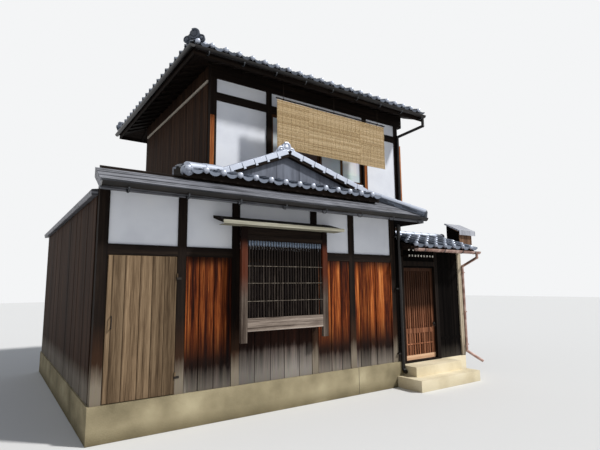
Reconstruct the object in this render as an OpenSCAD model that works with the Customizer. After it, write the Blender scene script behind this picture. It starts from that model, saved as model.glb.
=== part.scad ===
// Machiya townhouse: a timber shop-house with a lattice window, a gabled street roof,
// a set-back upper storey and a small roofed gate beside it.
// X runs along the street, Y into the house, Z up. Y = 0 is the centre line of the
// street posts and X = 0 the middle of the street front.

/* [Street front] */
// Spacing of the street posts, centre to centre
half_ken = 985; // [900:5:1050]
// Width of a square main post
post_w = 120; // [90:5:140]
// Centre-to-centre width of the lattice window bay
window_bay = 1380; // [1200:10:1500]
// Height of the concrete plinth
plinth_h = 420; // [250:10:600]
// Thickness of the plinth
plinth_t = 180; // [150:10:220]
// Height of the underside of the head rail
head_z = 2170; // [2000:10:2300]
// Height of the head rail itself
head_h = 130; // [90:5:150]
// Height of the underside of the eaves beam
plate_z = 2960; // [2800:10:3100]
// Thickness of a wall panel between the posts
panel_t = 80; // [60:5:90]
// Height of the sill of the lattice window opening
sill_z = 1200; // [1000:10:1400]
// Thickness of a window sash
sash_t = 30; // [26:1:32]
// Clearance between the sashes of the inner and outer track
sash_gap = 4; // [3:1:6]
// Distance from a wall's outer face to the outer track of its sashes
sash_inset = 28; // [20:1:30]

/* [House depth] */
// Depth of the upper storey, between the centres of its corner posts
upper_d = 3940; // [3500:10:4500]
// Distance from the street post line to the upper front wall's outer face
setback = 1440; // [1200:10:1600]
// Thickness of the ground floor boards and joists
floor_t = 60; // [40:5:90]
// Height of the beams that carry the upper storey
beam_h = 240; // [200:10:300]
// Width of the entrance in the forecourt
entrance_w = 850; // [750:10:950]
// Height of the entrance above the plinth
entrance_h = 1830; // [1750:10:1900]
// Distance from the entrance to the upper storey's right face
entrance_r = 650; // [500:10:800]
// Width of the rear windows
rear_win_w = 2400; // [1800:20:2600]
// Distance from the rear windows to the upper storey's left face
rear_win_x = 900; // [700:20:1200]
// Height of the lower rear window's sill above the plinth
rear_win_sill = 900; // [700:20:1000]

/* [Upper storey] */
// Place of the upper storey's left face, measured left from the middle of the front
upper_left = 485; // [300:5:700]
// Width of the upper storey over its corner posts
upper_w = 4820; // [4500:10:5200]
// Height of the underside of the upper storey's tie rail
tie_z = 5145; // [4900:5:5300]
// Height of the tie rail itself
tie_h = 155; // [100:5:180]
// Height of the underside of the upper wall plate
upper_plate_z = 5563; // [5450:1:5700]
// Height of the upper windows' sill
upper_sill_z = 3990; // [3900:10:4200]
// Distance from the upper left corner to the post left of the windows, centre to centre
upper_post_l = 1168; // [900:4:1300]
// Distance from the upper right corner to the post right of the windows
upper_post_r = 1010; // [800:5:1200]
// Number of the upper windows' sashes
upper_sashes = 4; // [2:2:4]
// Reach of the wall plate's end beyond the upper storey's right face
plate_end = 150; // [60:10:180]

/* [Lower roofs] */
// Place of the street gable's ridge, right of the middle of the front
ridge_x = 375; // [0:5:600]
// Height of the street gable's ridge
ridge_z = 3930; // [3850:5:4050]
// Fall of the street gable's left slope for each millimetre across
left_pitch = 0.42; // [0.38:0.01:0.46]
// Place of the lower edge of the left tiled slope, left of the middle
tile_left = 1525; // [1400:5:1650]
// Fall of the sheet-metal lean-to at the far left
lean_pitch = 0.17; // [0.12:0.01:0.2]
// Overhang of the left lean-to beyond the wall
lean_reach = 70; // [40:5:120]
// Overhang of the lower roofs at the rear
rear_reach = 250; // [150:10:350]
// Thickness of a tiled roof slab
tile_t = 120; // [90:5:140]
// Thickness of the lean-to's sheet-metal slab
lean_t = 60; // [40:5:80]
// Overhang of the pent roof beyond the street wall
pent_reach = 380; // [300:5:450]
// Height of the pent roof's eave
pent_z = 3000; // [2960:5:3100]
// Fall of the pent roof
pent_pitch = 0.57; // [0.5:0.01:0.6]
// Thickness of the pent roof
pent_t = 120; // [80:5:130]
// Distance from the post line back to the sheet-metal gable face
gablet_y = 240; // [200:5:320]
// Thickness of the gable face
gablet_t = 60; // [40:5:80]
// Distance from the post line out to the edge of the tiled skirt under the gable
skirt_y = 160; // [120:5:200]
// Height of the skirt's outer edge
skirt_z = 3300; // [3280:5:3340]
// Fall of the skirt
skirt_pitch = 0.3; // [0.25:0.01:0.33]
// Thickness of the skirt
skirt_t = 80; // [60:5:90]
// Overhang of the gable's rakes in front of its face
rake_reach = 80; // [50:5:110]
// Height of the rakes' boards
rake_t = 90; // [70:5:110]

/* [Upper roof] */
// Overhang of the upper eaves
upper_eave = 550; // [450:10:650]
// Overhang of the upper roof's right verge
upper_verge = 290; // [200:10:350]
// Height of the upper roof's eave
upper_eave_z = 5770; // [5740:5:5850]
// Fall of the upper roof
upper_pitch = 0.4; // [0.36:0.01:0.44]
// Thickness of the upper roof
upper_t = 130; // [100:5:150]
// Width of a tiled ridge
ridge_w = 190; // [140:5:220]
// Height of a tiled ridge above the slopes
ridge_h = 170; // [110:5:200]

/* [Roof tiles] */
// Width that one column of tiles covers
tile_w = 263; // [240:1:290]
// Distance of the tiles' troughs above the roof slab
tile_bed = 12; // [8:1:20]
// Height of a tile's roll above the troughs
roll_h = 50; // [35:1:60]
// Radius of a tile's roll
roll_r = 42; // [35:1:48]
// Width of the half-round tiles on the street gable's rakes
rake_w = 110; // [90:5:120]
// Height of the half-round tiles on the rakes
rake_h = 60; // [45:5:75]
// Width of a hip's row of half-round tiles
hip_w = 150; // [120:5:180]
// Height of a hip's row of tiles above the slopes
hip_h = 120; // [90:5:150]
// Width of the ornamental end tile of a ridge
end_w = 330; // [240:10:340]
// Height of the ornamental end tile
end_h = 300; // [200:10:320]
// Thickness of the ornamental end tile
end_t = 60; // [40:5:80]
// Width of the street gable's end tile
gable_end_w = 280; // [220:10:320]
// Height of the street gable's end tile
gable_end_h = 250; // [180:10:280]
// Depth that a ridge or a hip is bedded into the slopes
ridge_bed = 30; // [20:5:40]
// Clearance between a slope's tiles and the ridge or hip beside them
tile_gap = 5; // [3:1:10]
// Spacing of the rafters under the upper eaves
rafter_pitch = 303; // [280:1:460]
// Width of a rafter
rafter_w = 45; // [36:1:60]
// Height of a rafter
rafter_h = 50; // [40:1:60]
// Thickness of the board across the rafters' ends
fascia_t = 24; // [18:1:30]

/* [Lattice window] */
// Width of the lattice window over its stiles
lattice_w = 1500; // [1400:10:1560]
// Place of the lattice window's middle, right of the middle of the front
lattice_x = 50; // [0:5:80]
// Distance of the lattice's outer face from the street post line
lattice_y = 260; // [200:5:300]
// Width of a stile
stile_w = 95; // [70:5:110]
// Thickness of the lattice frame
stile_t = 60; // [45:5:70]
// Height of the stiles' lower ends
stile_z = 1000; // [900:10:1100]
// Height of the bottom rail's underside
lattice_rail_z = 1150; // [1080:10:1180]
// Height of the bottom rail itself
lattice_rail_h = 180; // [120:5:200]
// Spacing of the lattice bars
bar_pitch = 46; // [40:1:55]
// Width of a lattice bar
bar_w = 22; // [16:1:26]
// Depth of a lattice bar
bar_d = 28; // [22:1:34]
// Height of the opening between the lattice's rails
lattice_open_h = 1080; // [960:10:1100]
// Spacing of the lattice's cross bars
cross_pitch = 240; // [200:5:260]
// Height of a cross bar
cross_h = 18; // [14:1:24]
// Width of the arms that hold the lattice off the wall
arm_w = 45; // [36:1:60]
// Height of an arm, and of the rail over the bars
arm_h = 80; // [60:5:100]

/* [Window canopy] */
// Width of the canopy over the lattice window
canopy_w = 2060; // [1900:10:2100]
// Place of the canopy's middle, left of the middle of the front
canopy_x = 15; // [0:5:80]
// Reach of the canopy from the street post line
canopy_y = 410; // [360:5:450]
// Height of the canopy's outer edge
canopy_z = 2650; // [2600:5:2700]
// Fall of the canopy
canopy_pitch = 0.3; // [0.2:0.01:0.35]
// Thickness of the canopy boards
canopy_t = 40; // [30:5:50]

/* [Doors] */
// Gap round a door leaf
door_gap = 7; // [7:1:10]
// Thickness of the side door
door_t = 36; // [30:1:42]
// Height of the side door's pull above its sill
pull_h = 930; // [800:10:1100]
// Length of the side door's pull
pull_l = 152; // [120:4:180]
// Distance from the side door's pull to the door's edge
pull_x = 60; // [40:5:80]
// Height of the gate's pull above the leaf's foot
gate_pull_h = 640; // [560:10:1000]
// Distance of the hinges' eyes from a leaf's foot and top
hinge_end = 220; // [180:10:300]
// Length of a hinge's strap on the leaf
strap_l = 90; // [60:5:120]
// Width of the gate's leaf
gate_leaf_w = 860; // [800:5:900]
// Height of the gate's leaf
gate_leaf_h = 1730; // [1650:5:1800]
// Thickness of the gate's leaf
gate_leaf_t = 36; // [30:1:42]
// Radius of a hinge's pin
pin_r = 6; // [4:0.5:8]
// Wall of a hinge's eye
eye_wall = 5; // [4:0.5:7]
// Length of a hinge's eye
eye_l = 50; // [30:5:70]
// Length of a hinge's plate on the post
plate_l = 60; // [40:5:70]

/* [Gate] */
// Distance from the street front's right end to the gate's leaf
gate_inset = 280; // [230:5:320]
// Height of the gate's threshold
gate_sill_z = 380; // [370:5:420]
// Width of a gate post
gate_post_w = 90; // [70:5:100]
// Width of the gate's fixed board panel
gate_panel_w = 670; // [600:5:700]
// Depth of the gate between its front and back posts
gate_d = 780; // [700:10:900]
// Overhang of the gate's eaves beyond its posts
gate_eave = 350; // [300:5:380]
// Height of the gate roof's eave
gate_eave_z = 2470; // [2450:5:2500]
// Fall of the gate roof
gate_pitch = 0.34; // [0.3:0.01:0.38]
// Thickness of the gate roof
gate_roof_t = 80; // [60:5:90]
// Overhang of the gate roof beyond its left posts
gate_verge = 60; // [40:5:100]
// Height of the beams under the gate roof
gate_beam_h = 100; // [80:5:120]
// Height of the rail over the gate's leaf
gate_head_h = 90; // [70:5:100]
// Thickness of the gate's fixed boards
gate_board_t = 24; // [18:1:30]
// Width of the gate leaf's stiles
gate_stile_w = 70; // [55:5:80]
// Height of the gate leaf's rails
gate_rail_h = 90; // [70:5:110]
// Height of the gate leaf's middle rail above its foot
gate_rail_z = 480; // [420:10:900]
// Spacing of the gate leaf's bars
gate_bar_pitch = 60; // [45:1:80]
// Width of a bar of the gate's leaf
gate_bar_w = 24; // [18:1:30]
// Height of the upper step
step_2 = 350; // [330:5:365]
// Height of the lower step
step_1 = 185; // [150:5:200]
// Reach of the upper step in front of the street post line
step_reach = 360; // [300:10:420]
// Tread of the lower step in front of the upper one
step_tread = 260; // [220:10:300]
// Distance from the street front's right end to the upper step
step_x = 110; // [60:5:150]
// Width of the upper step
step_w = 1250; // [1150:10:1350]
// Reach of the lower step beyond the upper one at each end
step_side = 180; // [150:5:200]
// Width of the meter box beside the gate
meter_w = 410; // [360:10:440]
// Depth of the meter box
meter_d = 300; // [260:10:340]
// Height of the meter box
meter_h = 390; // [350:10:440]
// Overhang of the meter box's sheet-metal hood
meter_lid = 60; // [40:5:80]
// Rise of the hood from front to back
meter_rise = 180; // [140:10:220]

/* [Blinds] */
// Place of the blinds' left edge, right of the middle of the front
blind_x = 615; // [550:5:700]
// Width of the left blind
blind_w1 = 710; // [650:5:760]
// Width of the middle blind
blind_w2 = 1355; // [1250:5:1450]
// Width of the right blind
blind_w3 = 715; // [650:5:760]
// Height of the rod that the blinds hang from
rod_z = 5245; // [5150:5:5300]
// Radius of the rod
rod_r = 14; // [10:1:18]
// Distance of the rod behind the eave's edge
rod_y = 60; // [50:5:120]
// Length of the left and middle blinds
blind_l = 975; // [900:5:1050]
// Extra length of the right blind
blind_drop = 45; // [0:5:100]
// Thickness of a blind
blind_t = 12; // [8:1:14]
// Overlap of neighbouring blinds
blind_lap = 30; // [10:5:60]

/* [Rainwater] */
// Outer radius of a gutter
gutter_r = 55; // [45:1:60]
// Wall of a gutter
gutter_wall = 4; // [3:1:6]
// Radius of a downpipe
pipe_r = 33; // [25:1:38]
// Drop of the lower gutter's rim below its eave
lower_drop = 35; // [25:5:50]
// Drop of the upper gutter's rim below its eave
upper_drop = 60; // [40:5:70]
// Drop of the gate gutter's rim below its eave
gate_drop = 50; // [30:5:60]
// Length of the upright outlet at the upper gutter's end
outlet_l = 200; // [150:10:240]
// Fall of the slanting pipe from that outlet to the wall
outlet_fall = 160; // [120:10:220]
// Height of a downpipe's clip
clip_h = 24; // [18:1:30]

/* [Hidden] */

// Street front
front = -post_w / 2;
back = post_w / 2;
half_w = 2.5 * half_ken + post_w / 2;
post_x = [
    -2.5 * half_ken, -1.5 * half_ken, -window_bay / 2,
    window_bay / 2, 1.5 * half_ken, 2.5 * half_ken];
panel_y = [-panel_t / 2, panel_t / 2];
head_top = head_z + head_h;
plinth_out = (plinth_t - post_w) / 2;
inner_w = half_w - post_w;

// Upper storey's outer and inner faces
up_x0 = -upper_left;
up_x1 = upper_w - upper_left;
up_y0 = setback;
up_y1 = setback + upper_d + post_w;
up_in = [up_x0 + post_w, up_x1 - post_w];
up_post_x = [
    up_x0 + post_w / 2, up_x0 + post_w / 2 + upper_post_l,
    up_x1 - post_w / 2 - upper_post_r, up_x1 - post_w / 2];
up_panel_y = [up_y0 + (post_w - panel_t) / 2, up_y0 + (post_w + panel_t) / 2];
tie_top = tie_z + tie_h;

// Lower roofs: top faces as heights across or into the house
pent_y = front - pent_reach;
corner_x = half_w + pent_reach;
lean_x = -half_w - lean_reach;
roof_y = gablet_y + gablet_t;
function left_z(x) = ridge_z - left_pitch * (ridge_x - x);
function lean_z(x) = left_z(-tile_left) - lean_pitch * (-tile_left - x);
function flank_z(x) = pent_z + pent_pitch * (corner_x - x);
function pent_top(y) = pent_z + pent_pitch * (y - pent_y);
function skirt_top(y) = skirt_z + skirt_pitch * (y + skirt_y);
rake_y = gablet_y - rake_reach;
rake_left = ridge_x - (ridge_z - skirt_top(rake_y)) / left_pitch;
function hip_x(y) = corner_x - (y - pent_y);
break_x = hip_x(roof_y);
right_pitch = (ridge_z - flank_z(break_x)) / (break_x - ridge_x);
function right_z(x) = ridge_z - right_pitch * (x - ridge_x);
skirt_r = break_x - ridge_w / 2;
beam_z = pent_top(front) - pent_t;

// Upper roof: a hip at the left, a plain gable at the right
ridge_y = (up_y0 + up_y1) / 2;
eave_y = [up_y0 - upper_eave, up_y1 + upper_eave];
eave_x = [up_x0 - upper_eave, up_x1 + upper_verge];
hip_run = ridge_y - eave_y[0];
function front_z(y) = upper_eave_z + upper_pitch * (y - eave_y[0]);
function hip_z(x) = upper_eave_z + upper_pitch * (x - eave_x[0]);
function rafter_x(i) = up_x0 + i * rafter_pitch;
ridge_top = front_z(ridge_y);
wall_top = front_z(up_y0) - upper_t;

// Lattice window and its canopy
lattice_x0 = lattice_x - lattice_w / 2;
lattice_x1 = lattice_x + lattice_w / 2;
lattice_back = -lattice_y + stile_t;
lattice_top = lattice_rail_z + lattice_rail_h + lattice_open_h;
arm_x = [
    max(lattice_x0, post_x[2] - post_w / 2),
    min(lattice_x1, post_x[3] + post_w / 2) - arm_w];
function canopy_top(y) = canopy_z + canopy_pitch * (y + canopy_y);

// Side door in the left bay
door_x = [post_x[0] + post_w / 2 + door_gap, post_x[1] - post_w / 2 - door_gap];
door_z = [plinth_h + door_gap, head_z - door_gap];

// Gate
gate_line = 40;
gate_y = [gate_line - gate_post_w / 2, gate_line + gate_post_w / 2];
leaf_x = [half_w + gate_inset, half_w + gate_inset + gate_leaf_w];
gate_post_x = [
    leaf_x[0] - door_gap - gate_post_w, leaf_x[1] + door_gap,
    leaf_x[1] + door_gap + gate_post_w + gate_panel_w];
gate_right = gate_post_x[2] + gate_post_w;
leaf_z = [gate_sill_z + door_gap, gate_sill_z + door_gap + gate_leaf_h];
gate_head_z = leaf_z[1] + door_gap;
gate_eave_y = gate_line - gate_post_w / 2 - gate_eave;
gate_ridge_y = gate_line + gate_d / 2;
gate_roof_x = [gate_post_x[0] - gate_verge, gate_right];
function gate_top(y) = gate_eave_z + gate_pitch * (y - gate_eave_y);
gate_plate_z = gate_top(gate_line) - gate_roof_t;
gate_leaf_y = [gate_y[1] - gate_leaf_t, gate_y[1]];

// Hinges: an eye on the leaf turns on a pin whose foot is fixed to the post
eye_r = pin_r + eye_wall;
pin_gap = 0.3;
side_axis = [door_x[1] + door_gap / 2, front - eye_r - 1];
gate_axis = [leaf_x[0] - door_gap / 2, gate_y[1] + eye_r + 1];
side_hinge_z = [door_z[0] + hinge_end, door_z[1] - hinge_end - eye_l];
gate_hinge_z = [leaf_z[0] + hinge_end, leaf_z[1] - hinge_end - eye_l];
strap_t = 4;

// A box between two limits on each axis
module block(x, y, z) {
    translate([x[0], y[0], z[0]]) cube([x[1] - x[0], y[1] - y[0], z[1] - z[0]]);
}

// An outline in Y and Z drawn out along X
module along_x(outline, x) {
    translate([x[0], 0, 0]) rotate([90, 0, 90]) linear_extrude(x[1] - x[0]) polygon(outline);
}

// An outline in X and Z drawn out along Y
module along_y(outline, y) {
    translate([0, y[1], 0]) rotate([90, 0, 0]) linear_extrude(y[1] - y[0]) polygon(outline);
}

// An outline in X and Y drawn out along Z
module along_z(outline, z) {
    translate([0, 0, z[0]]) linear_extrude(z[1] - z[0]) polygon(outline);
}

// A sliding sash: a frame of stiles and rails round one thin pane
module sash(x, y, z) {
    stile = 45;
    rail = 55;
    pane = 5;
    mid = (y[0] + y[1]) / 2;
    difference() {
        block(x, y, z);
        for (side = [[y[0] - 1, mid - pane / 2], [mid + pane / 2, y[1] + 1]])
            block([x[0] + stile, x[1] - stile], side, [z[0] + rail, z[1] - rail]);
    }
}

// The eye of a hinge, standing on z, with its strap reaching along the leaf's face
module hinge_eye(axis, z, strap_x, face_y) {
    y = [min(axis[1], face_y), max(axis[1], face_y)];
    difference() {
        union() {
            translate([axis[0], axis[1], z]) cylinder(h = eye_l, r = eye_r, $fn = 32);
            block(strap_x, [face_y - (axis[1] < face_y ? strap_t : 0),
                face_y + (axis[1] < face_y ? 0 : strap_t)], [z + 5, z + eye_l - 5]);
        }
        translate([axis[0], axis[1], z - 1])
            cylinder(h = eye_l + 2, r = pin_r + pin_gap, $fn = 32);
    }
}

// The pin of a hinge on its foot, with the foot's plate on the post's face
module hinge_pin(axis, z, plate_x, face_y) {
    foot_h = 30;
    side = axis[1] < face_y ? -1 : 1;
    union() {
        translate([axis[0], axis[1], z - pin_gap - foot_h])
            cylinder(h = foot_h, r = eye_r, $fn = 32);
        translate([axis[0], axis[1], z - pin_gap - foot_h])
            cylinder(h = foot_h + eye_l + 5, r = pin_r, $fn = 32);
        block(plate_x, side < 0 ? [face_y - strap_t, face_y] : [face_y, face_y + strap_t],
            [z - pin_gap - foot_h, z - pin_gap]);
    }
}

module front_plinth() {
    color("#a49d90")
        block([-half_w - plinth_out, half_w + plinth_out], [front - plinth_out, back + plinth_out],
            [0, plinth_h]);
}

module house_plinths() {
    side_y = [back + plinth_out, up_y1 - post_w - plinth_out];
    wing_y = [up_y0 - plinth_out, up_y0 + post_w + plinth_out];
    color("#a49d90") union() {
        block([-half_w - plinth_out, -inner_w + plinth_out], side_y, [0, plinth_h]);
        block([inner_w - plinth_out, half_w + plinth_out], [side_y[0], wing_y[1]], [0, plinth_h]);
        block([inner_w - plinth_out, up_x1 + plinth_out], wing_y, [0, plinth_h]);
        block([up_in[1] - plinth_out, up_x1 + plinth_out], [wing_y[0], side_y[1]], [0, plinth_h]);
        block([-half_w - plinth_out, up_x1 + plinth_out], [side_y[1], up_y1 + plinth_out],
            [0, plinth_h]);
    }
}

module ground_floor() {
    in_y = [back, up_y1 - post_w];
    wing_in = up_y0 + post_w;
    outline = [
        [-inner_w, in_y[0]], [inner_w, in_y[0]], [inner_w, wing_in], [up_in[1], wing_in],
        [up_in[1], in_y[1]], [-inner_w, in_y[1]]];
    color("#8a6a48") along_z(outline, [plinth_h, plinth_h + floor_t]);
}

module front_posts() {
    color("#2b211a")
        for (x = post_x)
            block([x - post_w / 2, x + post_w / 2], [front, back], [plinth_h, plate_z]);
}

module front_beams() {
    color("#2b211a") {
        for (i = [0 : len(post_x) - 2])
            block([post_x[i] + post_w / 2, post_x[i + 1] - post_w / 2], [front, back],
                [head_z, head_top]);
        union() {
            block([-half_w, half_w], [front, back], [plate_z, beam_z]);
            along_x([[front, plate_z], [back, plate_z], [back, skirt_top(back) - skirt_t],
                [front, skirt_top(front) - skirt_t]], [-half_w, skirt_r]);
        }
    }
}

module front_boards() {
    color("#7a4225")
        for (i = [1 : len(post_x) - 2])
            block([post_x[i] + post_w / 2, post_x[i + 1] - post_w / 2], panel_y,
                [plinth_h, i == 2 ? sill_z : head_z]);
}

module front_plaster() {
    color("#efece4")
        for (i = [0 : len(post_x) - 2])
            block([post_x[i] + post_w / 2, post_x[i + 1] - post_w / 2], panel_y,
                [head_top, plate_z]);
}

module left_wall() {
    outline = [
        [-half_w, plinth_h], [-inner_w, plinth_h], [-inner_w, lean_z(-inner_w) - lean_t],
        [-half_w, lean_z(-half_w) - lean_t]];
    color("#3a2b20") along_y(outline, [back, up_y1]);
}

// The wall that faces the gate's forecourt and the wing's front wall, with its entrance
entrance_x = [up_x1 - entrance_r - entrance_w, up_x1 - entrance_r];
entrance_top = plinth_h + entrance_h;

module forecourt_walls() {
    color("#3a2b20") difference() {
        union() {
            block([inner_w, half_w], [back, up_y0 + post_w], [plinth_h, beam_z]);
            block([inner_w, up_x1], [up_y0, up_y0 + post_w], [plinth_h, beam_z]);
        }
        block(entrance_x, [up_y0 - 1, up_y0 + post_w + 1], [plinth_h - 1, entrance_top]);
    }
}

module right_wall() {
    y = [up_y0 + post_w, up_y1];
    outline = [
        [y[0], plinth_h], [y[1], plinth_h], [y[1], wall_top],
        [ridge_y, ridge_top - upper_t], [y[0], front_z(y[0]) - upper_t]];
    color("#3a2b20") along_x(outline, [up_in[1], up_x1]);
}

// The rear windows, one row in each storey, are cut through
rear_window_x = [up_x0 + rear_win_x, up_x0 + rear_win_x + rear_win_w];
rear_window_z = [[plinth_h + rear_win_sill, head_z], [upper_sill_z, tie_z]];

module rear_wall() {
    outline = [
        [-inner_w, plinth_h], [up_in[1], plinth_h], [up_in[1], wall_top], [up_x0, wall_top],
        [up_x0, left_z(up_x0) - tile_t], [-tile_left, left_z(-tile_left) - tile_t],
        [-tile_left, lean_z(-tile_left) - lean_t], [-inner_w, lean_z(-inner_w) - lean_t]];
    color("#3a2b20") difference() {
        along_y(outline, [up_y1 - post_w, up_y1]);
        for (z = rear_window_z)
            block(rear_window_x, [up_y1 - post_w - 1, up_y1 + 1], z);
    }
}

// Depths of a sash in the outer (0) or inner (1) track of the upper front and the rear
function front_track(n) = [
    up_y0 + sash_inset + n * (sash_t + sash_gap),
    up_y0 + sash_inset + n * (sash_t + sash_gap) + sash_t];
function rear_track(n) = [
    up_y1 - sash_inset - n * (sash_t + sash_gap) - sash_t,
    up_y1 - sash_inset - n * (sash_t + sash_gap)];

module carrying_beams() {
    z = [beam_z - floor_t - beam_h, beam_z - floor_t];
    color("#3a2b20") union() {
        block([up_x0, up_in[0]], [back, up_y1 - post_w], z);
        block([up_x0, inner_w], [up_y0, up_y0 + post_w], z);
    }
}

module canopy_shape() {
    x = [-canopy_x - canopy_w / 2, -canopy_x + canopy_w / 2];
    along_x([[-canopy_y, canopy_z - canopy_t], [-canopy_y, canopy_z], [front, canopy_top(front)],
        [front, canopy_top(front) - canopy_t]], x);
}

module lattice_frame() {
    color("#5d4a3a") difference() {
        union() {
            for (x = [lattice_x0, lattice_x1 - stile_w])
                block([x, x + stile_w], [-lattice_y, lattice_back], [stile_z, canopy_top(front)]);
            block([lattice_x0, lattice_x1], [-lattice_y, lattice_back],
                [lattice_rail_z, lattice_rail_z + lattice_rail_h]);
            block([lattice_x0, lattice_x1], [-lattice_y, lattice_back],
                [lattice_top, lattice_top + arm_h]);
            for (x = arm_x, z = [lattice_rail_z, lattice_top])
                block([x, x + arm_w], [-lattice_y, front], [z, z + arm_h]);
        }
        along_x([
            [-canopy_y, canopy_z - canopy_t], [-canopy_y, canopy_z + 200],
            [front, canopy_top(front) + 200], [front, canopy_top(front) - canopy_t]],
            [lattice_x0 - 10, lattice_x1 + 10]);
    }
}

module lattice_bars() {
    z = [lattice_rail_z + lattice_rail_h, lattice_top];
    x = [lattice_x0 + stile_w, lattice_x1 - stile_w];
    count = floor((x[1] - x[0]) / bar_pitch);
    margin = (x[1] - x[0] - (count - 1) * bar_pitch) / 2;
    y = [-lattice_y + (stile_t - bar_d) / 2, -lattice_y + (stile_t + bar_d) / 2];
    cross_count = floor((lattice_open_h - cross_h) / cross_pitch);
    color("#5d4a3a") union() {
        for (i = [0 : count - 1])
            translate([x[0] + margin + i * bar_pitch - bar_w / 2, 0, 0])
                block([0, bar_w], y, z);
        for (i = [1 : min(3, cross_count)])
            block(x, [y[0] + bar_d / 2, y[1] + bar_d / 4],
                [z[0] + i * cross_pitch - cross_h / 2, z[0] + i * cross_pitch + cross_h / 2]);
    }
}

module window_canopy() {
    color("#cfc6b2") canopy_shape();
}

module ground_windows() {
    x = [post_x[2] + post_w / 2, post_x[3] - post_w / 2];
    overlap = 30;
    color("#5a4634") {
        sash([x[0], (x[0] + x[1] + overlap) / 2], [-sash_t - sash_gap / 2, -sash_gap / 2],
            [sill_z, head_z]);
        sash([(x[0] + x[1] - overlap) / 2, x[1]], [sash_gap / 2, sash_t + sash_gap / 2],
            [sill_z, head_z]);
    }
    rear_mid = (rear_window_x[0] + rear_window_x[1]) / 2;
    color("#5a4634") {
        sash(entrance_x, [up_y0 + sash_inset, up_y0 + sash_inset + door_t],
            [plinth_h, entrance_top]);
        sash([rear_window_x[0], rear_mid + overlap / 2], rear_track(1), rear_window_z[0]);
        sash([rear_mid - overlap / 2, rear_window_x[1]], rear_track(0), rear_window_z[0]);
    }
}

// A slope's tiles as rolls between troughs, over a plane that rises along +Y. They reach
// past both ends of the slope, for the plan that trims them.
module tile_rolls(width, run, pitch) {
    count = max(1, round(width / tile_w));
    bend = [[0, 0], [0.4, 0.75], [1, 1], [1.6, 0.75], [2, 0]];
    wave = [
        for (i = [0 : count - 1], p = bend)
            [i * width / count + p[0] * roll_r, tile_bed + p[1] * roll_h]];
    spare = roll_h + tile_bed;
    length = run * sqrt(1 + pitch * pitch) + spare;
    rotate([atan(pitch), 0, 0]) translate([0, length, 0]) rotate([90, 0, 0])
        linear_extrude(length + spare)
            polygon(concat([[0, -tile_bed]], wave, [[width, tile_bed], [width, -tile_bed]]));
}

module pent_roof() {
    section = [
        [pent_y, pent_z - pent_t], [pent_y, pent_z], [roof_y, pent_top(roof_y)],
        [roof_y, pent_top(roof_y) - pent_t]];
    plan = [
        [lean_x, pent_y], [corner_x, pent_y], [break_x, roof_y], [skirt_r, roof_y],
        [skirt_r, front], [lean_x, front]];
    color("#9a9c9e") intersection() {
        along_x(section, [lean_x, corner_x]);
        along_z(plan, [pent_z - pent_t, pent_top(roof_y)]);
    }
}

// A half-round gutter along X
module gutter(x, y, z) {
    translate([x[0], y, z]) rotate([0, 90, 0]) difference() {
        cylinder(h = x[1] - x[0], r = gutter_r, $fn = 48);
        translate([0, 0, gutter_wall])
            cylinder(h = x[1] - x[0] - 2 * gutter_wall, r = gutter_r - gutter_wall, $fn = 48);
        translate([-2 * gutter_r, -2 * gutter_r, -1])
            cube([2 * gutter_r, 4 * gutter_r, x[1] - x[0] + 2]);
    }
}

// The quarter bend at a downpipe's foot, from its pipe above to an outlet along -Y
module pipe_shoe() {
    bend_r = 2 * pipe_r;
    translate([0, -bend_r, 0]) rotate([90, 0, 90]) rotate([0, 0, -90])
        rotate_extrude(angle = 90, $fn = 48) translate([bend_r, 0]) circle(r = pipe_r, $fn = 32);
}

module lower_gutter() {
    pipe_x = half_w + plinth_out + pipe_r + 1;
    pipe_y = front - pipe_r - 10;
    pipe_z = step_1 + 4 * pipe_r;
    color("#2d2a28") {
        gutter([lean_x, corner_x], pent_y - gutter_r, pent_z - lower_drop);
        union() {
            translate([pipe_x, pipe_y, pipe_z])
                cylinder(h = pent_z - pent_t - pipe_z, r = pipe_r, $fn = 32);
            translate([pipe_x, pipe_y, pipe_z]) pipe_shoe();
            for (z = [plinth_h + pipe_r * 4, (plinth_h + plate_z) / 2, plate_z - pipe_r * 10])
                block([half_w - pipe_r, pipe_x], [pipe_y - 2, front], [z, z + clip_h]);
        }
    }
}

module skirt_roof() {
    section = [
        [-skirt_y, skirt_z - skirt_t], [-skirt_y, skirt_z], [gablet_y, skirt_top(gablet_y)],
        [gablet_y, skirt_top(gablet_y) - skirt_t]];
    run = rake_y + skirt_y;
    color("#5f6368") union() {
        along_x(section, [-tile_left, skirt_r]);
        intersection() {
            translate([-tile_left, -skirt_y, skirt_z])
                tile_rolls(skirt_r + tile_left, run, skirt_pitch);
            block([-tile_left, skirt_r], [-skirt_y, rake_y], [skirt_z - tile_bed, skirt_z + run]);
        }
    }
}

// The gable's closing wall: a band behind the skirt with the gable triangle on it
band_top = skirt_top(gablet_y) + ridge_bed;
band_left = ridge_x - (ridge_z - band_top) / left_pitch;

module gablet_face() {
    outline = [
        [-tile_left, beam_z], [skirt_r, beam_z], [skirt_r, right_z(skirt_r)],
        [ridge_x, ridge_z], [band_left, band_top], [-tile_left, band_top]];
    color("#6a6c70") along_y(outline, [gablet_y, roof_y]);
}

// The rakes' band down both sides of the gable, drawn up to a height above the slopes
function rake_band(up) = [
    [rake_left, left_z(rake_left) + up], [ridge_x, ridge_z + up],
    [skirt_r, right_z(skirt_r) + up], [skirt_r, right_z(skirt_r) - rake_t],
    [ridge_x, ridge_z - rake_t], [rake_left, left_z(rake_left) - rake_t]];

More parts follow.
